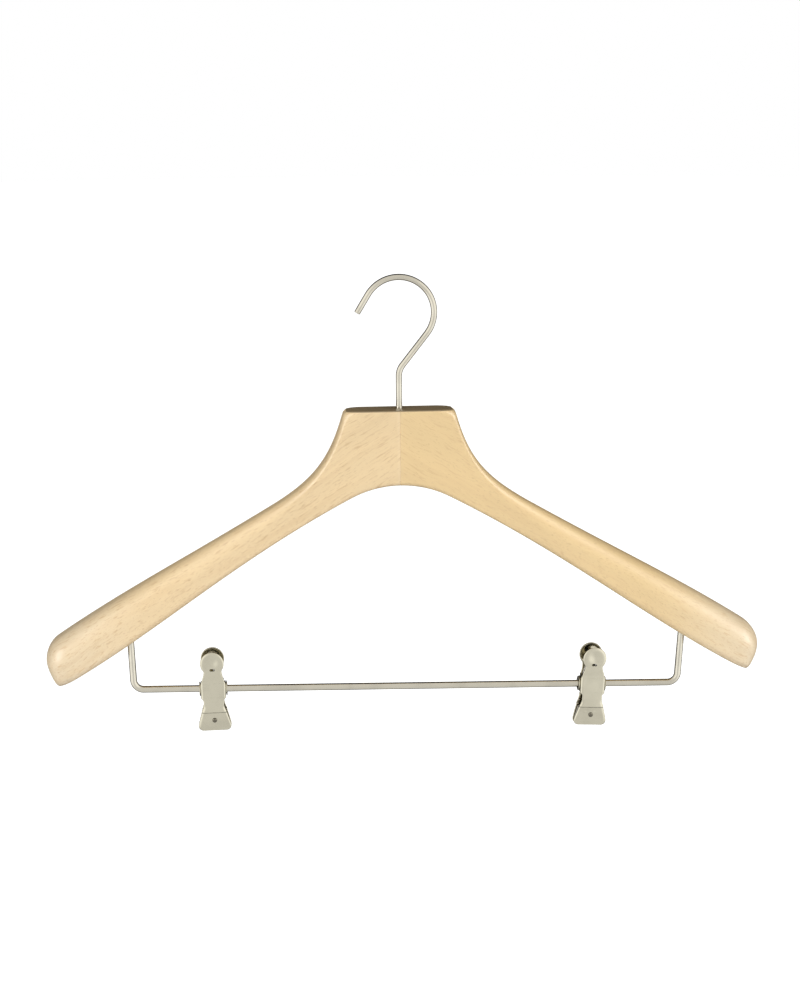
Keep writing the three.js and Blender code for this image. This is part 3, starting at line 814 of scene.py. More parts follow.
@dataclass
class Arm:
    """One wooden half: sections strung between a top rail and a bottom rail drawn under the neck's top.

    Lengths are millimetres and angles are degrees. Pulls are shares of a curve's reach, blends are shares
    of the rails' lengths, and limits are the greatest shares of a section that a rounded corner may take.
    """

    side: Side
    neck_width: float = 72.2
    neck_thickness: float = 20.0
    neck_height: float = 48.4
    neck_corner: float = 4.2
    flank_lean: float = 15.5
    flank_pulls: tuple[float, float] = (0.42, 0.42)
    shoulder: tuple[float, float] = (84.0, -62.0)
    shoulder_slope: float = 29.3
    arm_pulls: tuple[float, float] = (0.4, 0.3)
    tip_point: float = 4.6
    tip_drop: float = 143.8
    tip_slope: float = 33.5
    end_lean: float = 25.0
    end_height: float = 24.9
    heel_slope: float = 25.8
    arch_radius: float = 67.7
    arch_turn: float = 27.3
    tip_depth: float = 42.0
    forward_bow: float = 30.0
    bow_start: float = 28.0
    bow_power: float = 1.6
    neck_edge: float = 1.2
    flank_edge: float = 7.0
    lower_edge: float = 2.5
    heel_edge: float = 4.5
    top_round_across: float = 0.85
    top_round_down: float = 0.5
    flank_blend: tuple[float, float] = (0.085, 0.14)
    arm_blend: tuple[float, float] = (0.2, 0.6)
    depth_limit: float = 0.98
    top_limit: float = 0.6
    heel_limit: float = 0.39
    end_round_top: float = 12.7
    end_round_bottom: float = 2.8
    end_round_sides: float = 14.5
    seam_ease: float = 0.2
    sharp: float = 50.0
    stations: int = 170
    station_power: float = 1.7
    corner_steps: int = 9
    flat_steps: int = 6
    cap_shares: tuple[float, float, float] = (0.75, 0.5, 0.25)

    @staticmethod
    def run_out(start: Array, end: Array, slopes: tuple, pulls: tuple) -> Array:
        """A cubic that leaves start and reaches end along slopes below level."""
        first, last = (np.array([math.cos(slope), -math.sin(slope)]) for slope in map(math.radians, slopes))
        reach = np.linalg.norm(end - start)
        return pulled(start, end, (pulls[0] * reach * first, -pulls[1] * reach * last), 400)

    def rails(self) -> tuple[Array, Array]:
        """The rails' points.

        Returns:
            Top rail and bottom rail, rows of reach and height.
        """
        lean = math.radians(self.end_lean)
        tip = np.array([HANGER_WIDTH / 2.0 + self.tip_point, -self.tip_drop])
        heel = tip - self.end_height * np.array([math.sin(lean), math.cos(lean)])
        flat = self.neck_width / 2.0 - self.neck_corner
        shoulder = np.array(self.shoulder)
        corner = arc((flat, -self.neck_corner), self.neck_corner, 90.0, self.flank_lean, 60)
        slopes = (90.0 - self.flank_lean, self.shoulder_slope)
        flank = self.run_out(corner[-1], shoulder, slopes, self.flank_pulls)
        arm = self.run_out(shoulder, tip, (self.shoulder_slope, self.tip_slope), self.arm_pulls)
        top = chain(line((0.0, 0.0), (flat, 0.0), 40), corner, flank, arm)
        middle = (0.0, -self.neck_height - self.arch_radius)
        arch = arc(middle, self.arch_radius, 90.0, 90.0 - self.arch_turn, 80)
        under = self.run_out(arch[-1], heel, (self.arch_turn, self.heel_slope), self.arm_pulls)
        return top, chain(arch, under)

    def bow(self, reach: Array) -> Array:
        """How far the arm's middle lies in front of the neck: the bow times a power of the reach's share."""
        share = np.maximum(reach - self.bow_start, 0.0) / (HANGER_WIDTH / 2.0 - self.bow_start)
        return self.forward_bow * share**self.bow_power

    def underside(self, reach: float) -> float:
        """Height of the underside at a distance from the seam."""
        bottom = self.rails()[1]
        return NECK_TOP + float(np.interp(reach, bottom[:, 0], bottom[:, 1]))

    def rings(self, shares: Array) -> Array:
        """Sections at shares of both rails: rectangles whose four corners are quarter ellipses.

        Each corner's size blends from the neck's to the flank's and on to the arm's along the rails, and
        towards the tip every side is drawn in by r - sqrt(r^2 - (r - d)^2) at the distance d from the end.

        Args:
            shares: of the rails' lengths, from 0 at the seam to 1 at the tip.

        Returns:
            Points with the axes section, point and coordinate.
        """
        top_rail, bottom_rail = self.rails()
        top, bottom = at_shares(top_rail, shares), at_shares(bottom_rail, shares)
        reach = (top[:, 0] + bottom[:, 0]) / 2.0
        distance = (1.0 - shares) * travel(bottom_rail)[-1]

        def inset(radius: float) -> Array:
            """How far a rounded end draws a side in."""
            within = np.maximum(radius - distance, 0.0)
            return radius - np.sqrt(radius**2 - within**2)

        drawn = inset(self.end_round_top)
        height = np.linalg.norm(bottom - top, axis=1) - drawn - inset(self.end_round_bottom)
        spread = smoothstep(reach, self.bow_start, HANGER_WIDTH / 2.0)
        half = (self.neck_thickness + (self.tip_depth - self.neck_thickness) * spread) / 2.0
        half = half - inset(self.end_round_sides)
        flank, arm = smoothstep(shares, *self.flank_blend), smoothstep(shares, *self.arm_blend)
        early = self.neck_edge + (self.flank_edge - self.neck_edge) * flank
        widest = self.depth_limit * half
        across = np.minimum(early + (self.top_round_across * half - early) * arm, widest)
        down = np.minimum(early + (self.top_round_down * height - early) * arm, self.top_limit * height)
        heel = self.lower_edge + (self.heel_edge - self.lower_edge) * arm
        heel = np.minimum(np.minimum(heel, widest), self.heel_limit * height)

        angles = np.linspace(0.0, np.pi / 2.0, self.corner_steps + 1)
        rising, falling = 1.0 - np.sin(angles), 1.0 - np.cos(angles)
        zero = np.zeros_like(height)
        corners = [
            (-1.0, height, heel, -heel, rising, falling),
            (-1.0, zero, across, down, falling, rising),
            (1.0, zero, across, down, rising, falling),
            (1.0, height, heel, -heel, falling, rising),
        ]
        flats = np.linspace(0.0, 1.0, self.flat_steps + 2)[1:-1]
        section = []
        for sideways, edge, inward, along, wide, deep in corners:
            y = sideways * (half[:, None] - inward[:, None] * wide)
            q = drawn[:, None] + edge[:, None] + along[:, None] * deep
            section.append(np.stack([y, q], axis=-1))
        loop = []
        for corner, following in zip(section, section[1:] + section[:1]):
            gap = following[:, :1] - corner[:, -1:]
            loop += [corner, corner[:, -1:] + flats[None, :, None] * gap]
        y, q = np.moveaxis(np.concatenate(loop, axis=1), -1, 0)
        down_rail = unit(bottom - top)
        x = self.side.value * (top[:, :1] + down_rail[:, :1] * q)
        z = NECK_TOP + top[:, 1:] + down_rail[:, 1:] * q
        return np.stack([x, y - self.bow(reach)[:, None], z], axis=-1)

    def skin(self) -> Skin:
        """The arm's skin: sections closer together towards the tip, an eased seam and a closed end."""
        even = np.linspace(0.0, 1.0, self.stations)
        ease = self.seam_ease / travel(self.rails()[0])[-1]
        shares = np.concatenate([[0.0, ease], 1.0 - (1.0 - even[1:]) ** self.station_power])
        rings = self.rings(shares)
        middle = rings[0].mean(axis=0)
        size = np.ptp(rings[0], axis=0) / 2.0
        shrink = 1.0 - self.seam_ease / np.maximum(size, 1.0)
        rings[0] = middle + (rings[0] - middle) * shrink
        end = rings[-1:].mean(axis=1, keepdims=True)
        cap = end + (rings[-1:] - end) * np.array(self.cap_shares)[:, None, None]
        return closed_rings(np.concatenate([rings, cap]))


@dataclass
class Body:
    """The wooden body: two arms, bored for the hook's socket, the seam's dowels and the bar's legs."""

    bar: "TrouserBar"
    hook: "Hook"
    dowel_diameter: float = 5.0
    dowel_length: float = 24.0

    def bores(self, side: Side, arm: Arm) -> list[Skin]:
        """The holes in one arm.

        Args:
            side: which arm.
            arm: its sizes.

        Returns:
            One closed skin for each hole.
        """
        floor = self.hook.pocket_bottom
        pocket = rod((0, 0, floor), (0, 0, self.hook.pocket_top), self.hook.pocket_radius)
        stem = rod((0, 0, floor + FIT), (0, 0, NECK_TOP + CUT_PAST), self.hook.bore)
        height = (floor + NECK_TOP - arm.neck_height) / 2.0
        end = self.dowel_length / 2.0 + FIT
        depth = arm.neck_thickness / 4.0
        radius = self.dowel_diameter / 2.0 + FIT
        dowels = [rod((-end, y, height), (end, y, height), radius) for y in (-depth, depth)]
        top = self.bar.leg_length(side) + FIT
        leg = rod(self.bar.leg(side, self.bar.leg_bend), self.bar.leg(side, top), self.bar.wire / 2.0 + FIT)
        return [pocket, stem, *dowels, leg.moved(self.bar.matrix())]

    def build(self) -> None:
        """Makes and dresses both arms and dresses the dowels inside them."""
        for side, finish in ((Side.LEFT, LEFT_BEECH), (Side.RIGHT, RIGHT_BEECH)):
            arm = Arm(side)
            name = side.name.lower()
            piece = make_piece(f"{name}_beech_arm", arm.skin(), arm.sharp)
            cut(piece, self.bores(side, arm), arm.sharp)
            dress(piece, finish, "hanger_body", f"{name}_arm")
        for node in ("front_dowel", "rear_dowel"):
            paint_node(node, DOWEL_BEECH)


def paint_node(node: str, finish: Finish) -> None:
    """Gives a CAD node that stays in the scene its material."""
    shown = frame["nodes"][node]
    shown.data.materials.clear()
    shown.data.materials.append(finish.material())
    log.info("%s: CAD node in %s", node, finish.name)


@dataclass
class Hook:
    """The swivel hook: stem, bend, leaning run, loop and open end, in the plane y = 0."""

    wire: float = 4.0
    loop: float = 22.5
    rise: float = 61.2
    lean: float = 38.0
    bend: float = 11.0
    mouth_lean: float = 31.0
    mouth: float = 13.5
    end_ease: float = 0.5
    head_diameter: float = 6.6
    head_height: float = 2.2
    head_ease: float = 0.4
    socket_depth: float = 6.0
    socket_length: float = 16.0
    socket_wall: float = 1.3
    barb_height: float = 0.5
    washer: float = 0.9
    sides: int = 28

    @property
    def bore(self) -> float:
        """Radius of the hole that the stem turns in."""
        return self.wire / 2.0 + SLACK

    @property
    def pocket_radius(self) -> float:
        """Radius of the pocket round the socket."""
        return max(self.bore + self.socket_wall + self.barb_height, self.head_diameter / 2.0) + FIT

    @property
    def pocket_top(self) -> float:
        """Height of the pocket's roof."""
        return NECK_TOP - self.socket_depth

    @property
    def head_top(self) -> float:
        """Height of the upper face of the stem's head, under the socket and the washer."""
        return self.pocket_top - self.socket_length - self.washer - 3.0 * FIT

    @property
    def pocket_bottom(self) -> float:
        """Height of the pocket's floor."""
        return self.head_top - self.head_height - SLACK

    def path(self) -> Array:
        """Points of the wire above its head, in three dimensions."""
        lean, mouth = math.radians(self.lean), math.radians(self.mouth_lean)
        middle = NECK_TOP + self.rise
        leave = np.array([self.loop * math.cos(lean), middle - self.loop * math.sin(lean)])
        start = leave[1] - leave[0] / math.tan(lean) - self.bend * math.tan(lean / 2.0)
        turn = arc((self.bend, start), self.bend, 180.0, 180.0 - self.lean, 24)
        ring = arc((0.0, middle), self.loop, -self.lean, 180.0 - self.mouth_lean, 150)
        open_end = ring[-1] - (self.mouth - self.end_ease) * np.array([math.sin(mouth), math.cos(mouth)])
        stem = line((0.0, self.head_top), (0.0, start), 30)
        return upright(chain(stem, turn, line(turn[-1], leave, 16), ring, line(ring[-1], open_end, 10)))

    def skin(self) -> Skin:
        """The wire with its head at one end and an eased square cut at the other."""
        path, radius = self.path(), self.wire / 2.0
        head, ease = self.head_diameter / 2.0, self.head_ease
        bottom = self.head_top - self.head_height
        levels = np.array([bottom, bottom + ease, self.head_top - ease, self.head_top])
        stem = np.stack([0.0 * levels, 0.0 * levels, levels], axis=1)
        angles = np.linspace(0.0, np.pi / 2.0, 6)[1:]
        tail = path[-1] + self.end_ease * np.sin(angles)[:, None] * unit(path[-1] - path[-2])
        radii = np.concatenate([
            [head - ease, head, head, head - ease],
            np.full(len(path), radius),
            radius - self.end_ease * (1.0 - np.cos(angles)),
        ])
        return sweep(np.concatenate([stem, path, tail]), (0.0, 1.0, 0.0), radii, self.sides)

    def build(self) -> None:
        """Makes the hook and dresses it and the fittings of its stem."""
        piece = make_piece("hook_wire", self.skin())
        dress(piece, NICKEL_WIRE, "hook_body", "hook")
        for node in ("hook_socket", "hook_washer"):
            paint_node(node, ZINC)


@dataclass
class TrouserBar:
    """The bar: one wire with a leg into each arm, a little to the right and lower on that side.

    It is drawn in its own frame, with the bar along X and its middle at the origin.
    """

    wire: float = 4.4
    drop: float = 176.5
    leg_inset: float = 50.5
    shift: float = 2.6
    tilt: float = 0.75
    leg_lean: float = 2.8
    leg_bend: float = 6.5
    leg_embed: float = 16.0
    sides: int = 28

    @property
    def half(self) -> float:
        """From the bar's middle to where its line meets a leg's line."""
        return HANGER_WIDTH / 2.0 - self.leg_inset

    @property
    def depth(self) -> float:
        """Place of the bar front to back, under the middle of the arms."""
        return -float(Arm(Side.RIGHT).bow(np.array(self.half)))

    def matrix(self) -> Array:
        """Takes the bar's own frame to its place under the arms."""
        place = Matrix.Translation((self.shift, self.depth, NECK_TOP - self.drop))
        return np.array(place @ Matrix.Rotation(math.radians(self.tilt), 4, "Y"))

    def leg_length(self, side: Side) -> float:
        """Length of a leg from the bar's lower corner to its end inside the wood."""
        corner = self.matrix() @ [side.value * self.half, 0.0, 0.0, 1.0]
        rise = Arm(side).underside(abs(corner[0])) - corner[2]
        return rise / math.cos(math.radians(self.leg_lean + side.value * self.tilt)) + self.leg_embed

    def leg(self, side: Side, length: float) -> Array:
        """A point on a leg in the bar's frame, at a length from the bar's lower corner."""
        lean = math.radians(self.leg_lean)
        return np.array([side.value * (self.half + math.sin(lean) * length), 0.0, math.cos(lean) * length])

    def half_route(self, side: Side) -> Array:
        """The wire's middle line from the middle of the bar round one corner to the end of the leg."""
        turn = 90.0 + self.leg_lean
        tangent = self.leg_bend * math.tan(math.radians(turn / 2.0))
        corner = arc((self.half - tangent, self.leg_bend), self.leg_bend, -90.0, turn - 90.0, 24)
        bar = upright(chain(line((0.0, 0.0), corner[0], 60), corner) * [side.value, 1.0])
        return chain(bar, line(bar[-1], self.leg(side, self.leg_length(side)), 20))

    def build(self) -> None:
        """Sweeps the wire from one leg along the bar to the other, and dresses it."""
        path = chain(self.half_route(Side.LEFT)[::-1], self.half_route(Side.RIGHT))
        wire = sweep(path, (0.0, 1.0, 0.0), self.wire / 2.0, self.sides)
        piece = make_piece("bar_wire", wire.moved(self.matrix()))
        dress(piece, NICKEL_WIRE, "hanger_body", "trouser_bar")


@dataclass
class Clip:
    """A sprung clip: two jaws on a tube that slides on the bar, drawn about the pivot with the bar along X.

    Lengths are millimetres and angles are degrees. Places and pulls are across and up, and a pull is the
    way from one end of a curve to the point that shapes it.
    """

    side: Side
    bar: TrouserBar
    place: float = 121.0
    lean: float = 2.5
    twist: float = 3.0
    sheet: float = 0.9
    tube_wall: float = 0.5
    tube_ease: float = 0.2
    tube_rim: float = 0.8
    rim_thickness: float = 0.5
    spring_wire: float = 1.0
    spring_gap: float = 0.8
    spring_half_curls: int = 11
    leg_pull: float = 0.8
    lobe_margin: float = 1.0
    lobe_pulls: tuple = ((1.6, -0.9), (-3.0, 0.3))
    flange_root: float = 5.2
    flange_start: tuple[float, float] = (-0.6, 0.3)
    fold: float = 0.9
    fold_reach: float = 9.5
    fold_spread: float = 0.6
    ear_diameter: float = 15.1
    ear_top: float = 25.2
    ear_spread: float = 7.6
    ear_dish: float = 0.45
    dish_diameter: float = 9.4
    dish_drop: float = 6.6
    ear_crown_angle: float = 88.0
    ear_neck_angle: float = 40.0
    ear_pull: float = 1.2
    neck_pull: tuple[float, float] = (-0.9, 3.2)
    rim_width: float = 1.7
    rim_depth: float = 0.5
    rim_fade: float = 4.0
    flare_start: float = 6.5
    waist: tuple[float, float] = (6.5, -9.0)
    waist_pulls: tuple = ((-1.3, -1.0), (0.0, 1.4))
    crease: tuple[float, float] = (8.0, -14.6)
    crease_pulls: tuple = ((0.0, -2.6), (-0.5, 2.2))
    crease_inset: float = 0.7
    ledge: float = 0.55
    ledge_height: float = 0.55
    ledge_reach: tuple[float, float] = (2.2, -1.2)
    jaw_half: float = 10.45
    jaw_drop: float = 27.0
    jaw_corner: float = 3.0
    corner_pulls: tuple = ((0.6, -2.6), (-0.25, 2.5))
    bend_softness: float = 0.35
    ledge_softness: float = 0.03
    roll_width: float = 1.7
    roll_depth: float = 0.9
    roll_fade: float = 3.5
    dimple_depth: float = 0.2
    dimple_size: tuple[float, float] = (1.3, 0.7)
    dimple_place: float = 2.9
    dimple_drop: float = 2.2
    slot_height: float = 13.6
    slot_width: float = 3.4
    slot_opening: float = 1.6
    slot_offset: float = 0.9
    pad_thickness: float = 1.3
    pad_margin: float = 0.8
    pad_top: float = 15.6
    pad_flare: float = 0.3
    pad_corner: float = 1.2
    rivet_drop: float = 19.7
    rivet_shank: float = 1.8
    rivet_share: float = 0.8
    rivet_head: float = 3.0
    rivet_dome: float = 0.7
    outline_rows: int = 190
    ledge_rows: int = 20
    flat_columns: int = 15
    fold_columns: int = 7
    flange_columns: int = 13
    pad_rows: int = 60
    pad_columns: int = 13

    def __post_init__(self) -> None:
        """Works out the layers from the tube outwards, each from the one inside it."""
        self.name = f"{self.side.name.lower()}_clip"
        self.spring_half = (self.spring_wire + self.spring_gap) * self.spring_half_curls / 4.0
        self.inner_flange = self.spring_half + self.spring_wire / 2.0 + SLACK
        self.outer_flange = self.inner_flange + self.sheet + SLACK
        self.wing_half = self.outer_flange + self.sheet
        self.tube_half = self.wing_half + SLACK + self.rim_thickness
        skew = math.acos(math.cos(math.radians(self.lean)) * math.cos(math.radians(self.twist)))
        self.tube_bore = self.bar.wire / 2.0 / math.cos(skew) + self.tube_half * math.tan(skew) + SLACK
        self.tube_radius = self.tube_bore + self.tube_wall
        self.pivot_hole = self.tube_radius + FIT
        self.lobe_radius = self.pivot_hole + self.lobe_margin
        self.coil_radius = self.tube_radius + SLACK + self.spring_wire / 2.0
        inside = max(self.coil_radius + self.spring_wire / 2.0, self.lobe_radius) + SLACK
        self.body_depth = inside + self.sheet / 2.0
        self.tip_depth = FIT / 2.0 + self.pad_thickness + FIT + self.sheet / 2.0
        self.ear_radius = self.ear_diameter / 2.0
        self.ear_centre = self.ear_top - self.ear_radius
        slope_run = self.body_depth - self.crease_inset - self.tip_depth
        self.jaw_slope = math.atan2(slope_run, self.jaw_drop + self.crease[1])

    def matrix(self, jaw: Jaw = Jaw.FRONT) -> Array:
        """Takes a front jaw's drawing to its place on the bar, turned half round for a rear jaw."""
        lean = Matrix.Rotation(math.radians(self.side.value * self.lean), 4, "Y")
        twist = Matrix.Rotation(math.radians(self.side.value * self.twist), 4, "Z")
        half_turn = Matrix.Rotation(jaw.value * math.pi, 4, "Z")
        along = (self.side.value * self.place - self.bar.shift) / math.cos(math.radians(self.bar.tilt))
        return self.bar.matrix() @ np.array(Matrix.Translation((along, 0.0, 0.0)) @ lean @ twist @ half_turn)

    def depth(self, height: Array) -> Array:
        """Middle of the sheet from the clip's middle plane.

        Straight runs between six points, with a small step in at the crease, each corner rounded: the sum
        of the first run's line and, at each corner, the change of slope times the softened distance past it,
        s log(1 + exp(d / s)).

        Args:
            height: over the bar's axis.

        Returns:
            Depths, one for each height.
        """
        step = self.body_depth - self.crease_inset
        knots = [
            (self.ear_top, self.ear_spread, 0.0),
            (self.flare_start, self.body_depth, self.bend_softness),
            (self.waist[1], self.body_depth, self.bend_softness),
            (self.crease[1] + self.ledge_height, step + self.ledge, self.ledge_softness),
            (self.crease[1], step, self.ledge_softness),
            (-self.jaw_drop, self.tip_depth, 0.0),
        ]
        slopes = [(after[1] - before[1]) / (after[0] - before[0]) for before, after in zip(knots, knots[1:])]
        total = knots[0][1] + slopes[0] * (height - knots[0][0])
        for (z, _, soft), before, after in zip(knots[1:-1], slopes, slopes[1:]):
            total = total + (before - after) * soft * np.logaddexp(0.0, (z - height) / soft)
        return total

    def flat_outline(self, fold_line: float) -> Array:
        """Right half of a jaw's blank, from the crown of the ear to the lower corner.

        An arc for the ear, a curve down its neck into the fold, the flange's lobe round the pivot, a curve
        back to the waist and on to the jaw's rounded corner.

        Args:
            fold_line: half width at which the flanges start to fold.

        Returns:
            Even rows of across and height, and more of them at the crease's step.
        """
        ear = arc((0.0, self.ear_centre), self.ear_radius, self.ear_crown_angle, -self.ear_neck_angle, 80)
        folded = fold_line + self.fold * math.pi / 2.0
        pivot = folded + self.body_depth - self.fold
        upper = np.array([folded, self.flange_root]) + self.flange_start
        lower = upper * [1.0, -1.0]
        heading = unit(ear[-1] - ear[-2])
        neck = pulled(ear[-1], upper, (self.ear_pull * heading, self.neck_pull), 60)
        lobe = arc((pivot, 0.0), self.lobe_radius, 90.0, -90.0, 90)
        out = pulled(upper, lobe[0], self.lobe_pulls)
        back = out[::-1] * [1.0, -1.0]
        waist, crease = np.array(self.waist), np.array(self.crease)
        centre = (self.jaw_half - self.jaw_corner, self.jaw_corner - self.jaw_drop)
        corner = arc(centre, self.jaw_corner, 0.0, -90.0, 40)
        to_waist = pulled(lower, waist, self.waist_pulls)
        to_crease = pulled(waist, crease, self.crease_pulls)
        to_corner = pulled(crease, corner[0], self.corner_pulls)
        whole = chain(ear, neck, out, lobe, back, to_waist, to_crease, to_corner, corner)
        travelled = travel(whole)
        ledge = self.crease[1] + self.ledge_height * np.linspace(*self.ledge_reach, self.ledge_rows)
        added = np.interp(-ledge, -whole[:, 1], travelled / travelled[-1])
        even = np.linspace(0.0, 1.0, self.outline_rows)
        return at_shares(whole, np.sort(np.concatenate([even, added])))

    def jaw_sheet(self, jaw: Jaw) -> BentSheet:
        """The bent sheet of a jaw, drawn as a front jaw.

        Across the sheet, what lies past the fold line follows a quarter circle and then runs straight in.
        The ear is hollowed by d(1 - r^2)^2, the rim of the ear and the jaw's sides roll in by the square of
        the share of a narrow margin, and two small dimples are bell curves.

        Args:
            jaw: front jaws fold outside rear ones.

        Returns:
            The sheet.
        """
        flange = self.outer_flange if jaw is Jaw.FRONT else self.inner_flange
        fold_line = flange + self.sheet / 2.0 - self.fold
        outline = self.flat_outline(fold_line)

        def fold_at(height: Array) -> Array:
            """The fold runs straight beside the pivot and leaves the sheet above and below it."""
            return fold_line + self.fold_spread * np.maximum(np.abs(height) - self.fold_reach, 0.0)

        def relief(x: Array, height: Array) -> Array:
            """How far the sheet is pressed in."""
            reach = np.hypot(x, height - self.ear_centre)
            hollow = np.hypot(x, height - self.ear_top + self.dish_drop) / (self.dish_diameter / 2.0)
            pressed = self.ear_dish * np.maximum(1.0 - hollow**2, 0.0) ** 2
            rim = np.clip((reach - self.ear_radius + self.rim_width) / self.rim_width, 0.0, 1.0)
            on_ear = smoothstep(height, self.flare_start + self.rim_fade, self.ear_centre)
            pressed = pressed + self.rim_depth * rim**2 * on_ear
            half = np.interp(-height, -outline[:, 1], outline[:, 0])
            margin = np.clip((np.abs(x) - half + self.roll_width) / self.roll_width, 0.0, 1.0)
            on_jaw = smoothstep(height, self.waist[1], self.waist[1] - self.roll_fade)
            pressed = pressed + self.roll_depth * margin**2 * on_jaw
            below = (height - self.crease[1] + self.dimple_drop) / self.dimple_size[1]
            for middle in (-self.dimple_place, self.dimple_place):
                beside = (x - middle) / self.dimple_size[0]
                pressed = pressed + self.dimple_depth * np.exp(-(beside**2 + below**2))
            return pressed

        def place(across: Array, height: Array) -> Array:
            """Points of the sheet's middle."""
            start = fold_at(height)
            past = np.maximum(np.abs(across) - start, 0.0)
            angle = np.minimum(past / self.fold, np.pi / 2.0)
            beyond = np.maximum(past - self.fold * np.pi / 2.0, 0.0)
            x = np.minimum(np.abs(across), start) + self.fold * np.sin(angle)
            inward = self.fold * (1.0 - np.cos(angle)) + beyond
            y = inward - self.depth(height) + relief(x, height)
            return np.stack([np.sign(across) * x, y, height], axis=-1)

        def columns(half: Array, height: Array) -> Array:
            """Even columns on the flat, round the fold and along the flange of each row."""
            start = fold_at(height)[:, None]
            quarter = self.fold * math.pi / 2.0
            half = half[:, None]
            flat = np.minimum(half, start) * np.linspace(0.0, 1.0, self.flat_columns)
            fold = np.clip(half - start, 0.0, quarter) * np.linspace(0.0, 1.0, self.fold_columns)[1:]
            even = np.linspace(0.0, 1.0, self.flange_columns)[1:]
            flange_part = np.maximum(half - start - quarter, 0.0) * even
            folded = flat[:, -1:] + fold
            return np.concatenate([flat, folded, folded[:, -1:] + flange_part], axis=1)

        return BentSheet(outline, place, self.sheet, columns)

    def jaw_tools(self) -> list[Skin]:
        """What is cut out of a jaw: the spring's slot, the pivot holes and the rivet's hole."""
        end = self.slot_opening / 2.0
        run = self.slot_width / 2.0 - end
        rounds = chain(arc((run, 0.0), end, -90.0, 90.0, 16), arc((-run, 0.0), end, 90.0, 270.0, 16))
        depth = float(self.depth(np.array(self.slot_height)))
        rounds = rounds + [0.0, self.slot_height]
        rings = np.stack([upright(rounds, y) for y in (-depth - CUT_PAST, -depth + CUT_PAST)])
        reach = self.wing_half + CUT_PAST
        pivot = rod((-reach, 0, 0), (reach, 0, 0), self.pivot_hole)
        rivet_ends = self.rivet_point(-CUT_PAST), self.rivet_point(CUT_PAST)
        rivet = rod(*rivet_ends, self.rivet_shank / 2.0 + FIT, 32)
        return [closed_rings(rings), pivot, rivet]

    def rivet_point(self, outward: float) -> Array:
        """A point on the line square to the lower jaw through the rivet."""
        depth = float(self.depth(np.array(-self.rivet_drop))) + outward * math.cos(self.jaw_slope)
        return np.array([0.0, -depth, -self.rivet_drop - outward * math.sin(self.jaw_slope)])

    def pad_sheet(self) -> BentSheet:
        """The pad under a lower jaw: a strip a little smaller than the jaw, with rounded corners."""
        inset = self.sheet / 2.0 + FIT + self.pad_thickness / 2.0
        bottom = self.pad_margin - self.jaw_drop
        top_half = self.crease[0] + self.pad_flare - self.pad_margin
        low_half = self.jaw_half - self.pad_margin
        radius = self.pad_corner
        corner_top = arc((top_half - radius, -self.pad_top - radius), radius, 90.0, 0.0, 14)
        corner_low = arc((low_half - 2.0 * radius, bottom + 2.0 * radius), 2.0 * radius, 0.0, -90.0, 20)
        outline = chain(corner_top, line(corner_top[-1], corner_low[0], 30), corner_low)
        outline = at_shares(outline, np.linspace(0.0, 1.0, self.pad_rows))

        def place(across: Array, height: Array) -> Array:
            """Points of the pad's middle."""
            return np.stack([across, inset - self.depth(height), height], axis=-1)

        def columns(half: Array, height: Array) -> Array:
            """Even columns."""
            return half[:, None] * np.linspace(0.0, 1.0, self.pad_columns)

        return BentSheet(outline, place, self.pad_thickness, columns)

    def rivet_skin(self) -> Skin:
        """A dome outside the jaw on a shank that ends inside the pad."""
        seat = self.sheet / 2.0 + FIT
        inner = -(seat + self.rivet_share * self.pad_thickness)
        shank, head = self.rivet_shank / 2.0, self.rivet_head / 2.0
        dome = arc((0.0, 0.0), 1.0, 0.0, 90.0, 12) * [head, self.rivet_dome] + [0.0, seat]
        profile = np.concatenate([[[0.0, inner], [shank, inner], [shank, seat]], dome])
        direction = self.rivet_point(1.0) - self.rivet_point(0.0)
        return lathe(profile, 32).moved(turn_to(direction, self.rivet_point(0.0)))

    def tube_skin(self) -> Skin:
        """The tube with a flat rim turned out at each end, its edges rounded."""
        rim, round_edge = self.pivot_hole + self.tube_rim, self.rim_thickness / 2.0
        inside = self.tube_half - self.rim_thickness
        edge = arc((rim - round_edge, self.tube_half - round_edge), round_edge, -90.0, 90.0, 10)
        end, ease = self.tube_half, self.tube_ease
        eased = [[self.tube_bore + ease, end], [self.tube_bore, end - ease]]
        upper = np.concatenate([[[self.tube_radius, inside]], edge, eased])
        lower = upper[::-1] * [1.0, -1.0]
        profile = np.concatenate([upper, lower, upper[:1]])
        return lathe(profile, 48).moved(turn_to(np.array([1.0, 0.0, 0.0]), np.zeros(3)))

    def spring_skin(self) -> Skin:
        """The torsion spring: a leg from the rear slot, a helix round the tube and a leg to the front slot.

        The helix has the coil's radius times cosine and sine of an angle that falls as x grows, and each leg
        is a cubic from the helix's end to the slot.

        Returns:
            The closed skin.
        """
        depth = float(self.depth(np.array(self.slot_height))) - self.sheet / 2.0
        rise = self.slot_height - self.coil_radius / 2.0

        def leg(way: float) -> Array:
            """A leg from the coil to its slot."""
            x, slot_x, y = -way * self.spring_half, -way * self.slot_offset, way * self.coil_radius
            above, inside = (x, y, self.leg_pull * rise), (slot_x, y, self.slot_height)
            slot = (slot_x, way * depth, self.slot_height)
            return bezier([(x, y, 0.0), above, inside, slot], 30)

        share = np.linspace(0.0, 1.0, 20 * self.spring_half_curls)
        angle = -np.pi * self.spring_half_curls * share
        across = self.spring_half * (2.0 * share - 1.0)
        coil = np.stack([across, self.coil_radius * np.cos(angle), self.coil_radius * np.sin(angle)], axis=1)
        path = chain(leg(1.0)[::-1], coil, leg(-1.0))
        return sweep(path, (1.0, 0.0, 0.0), self.spring_wire / 2.0, 10)

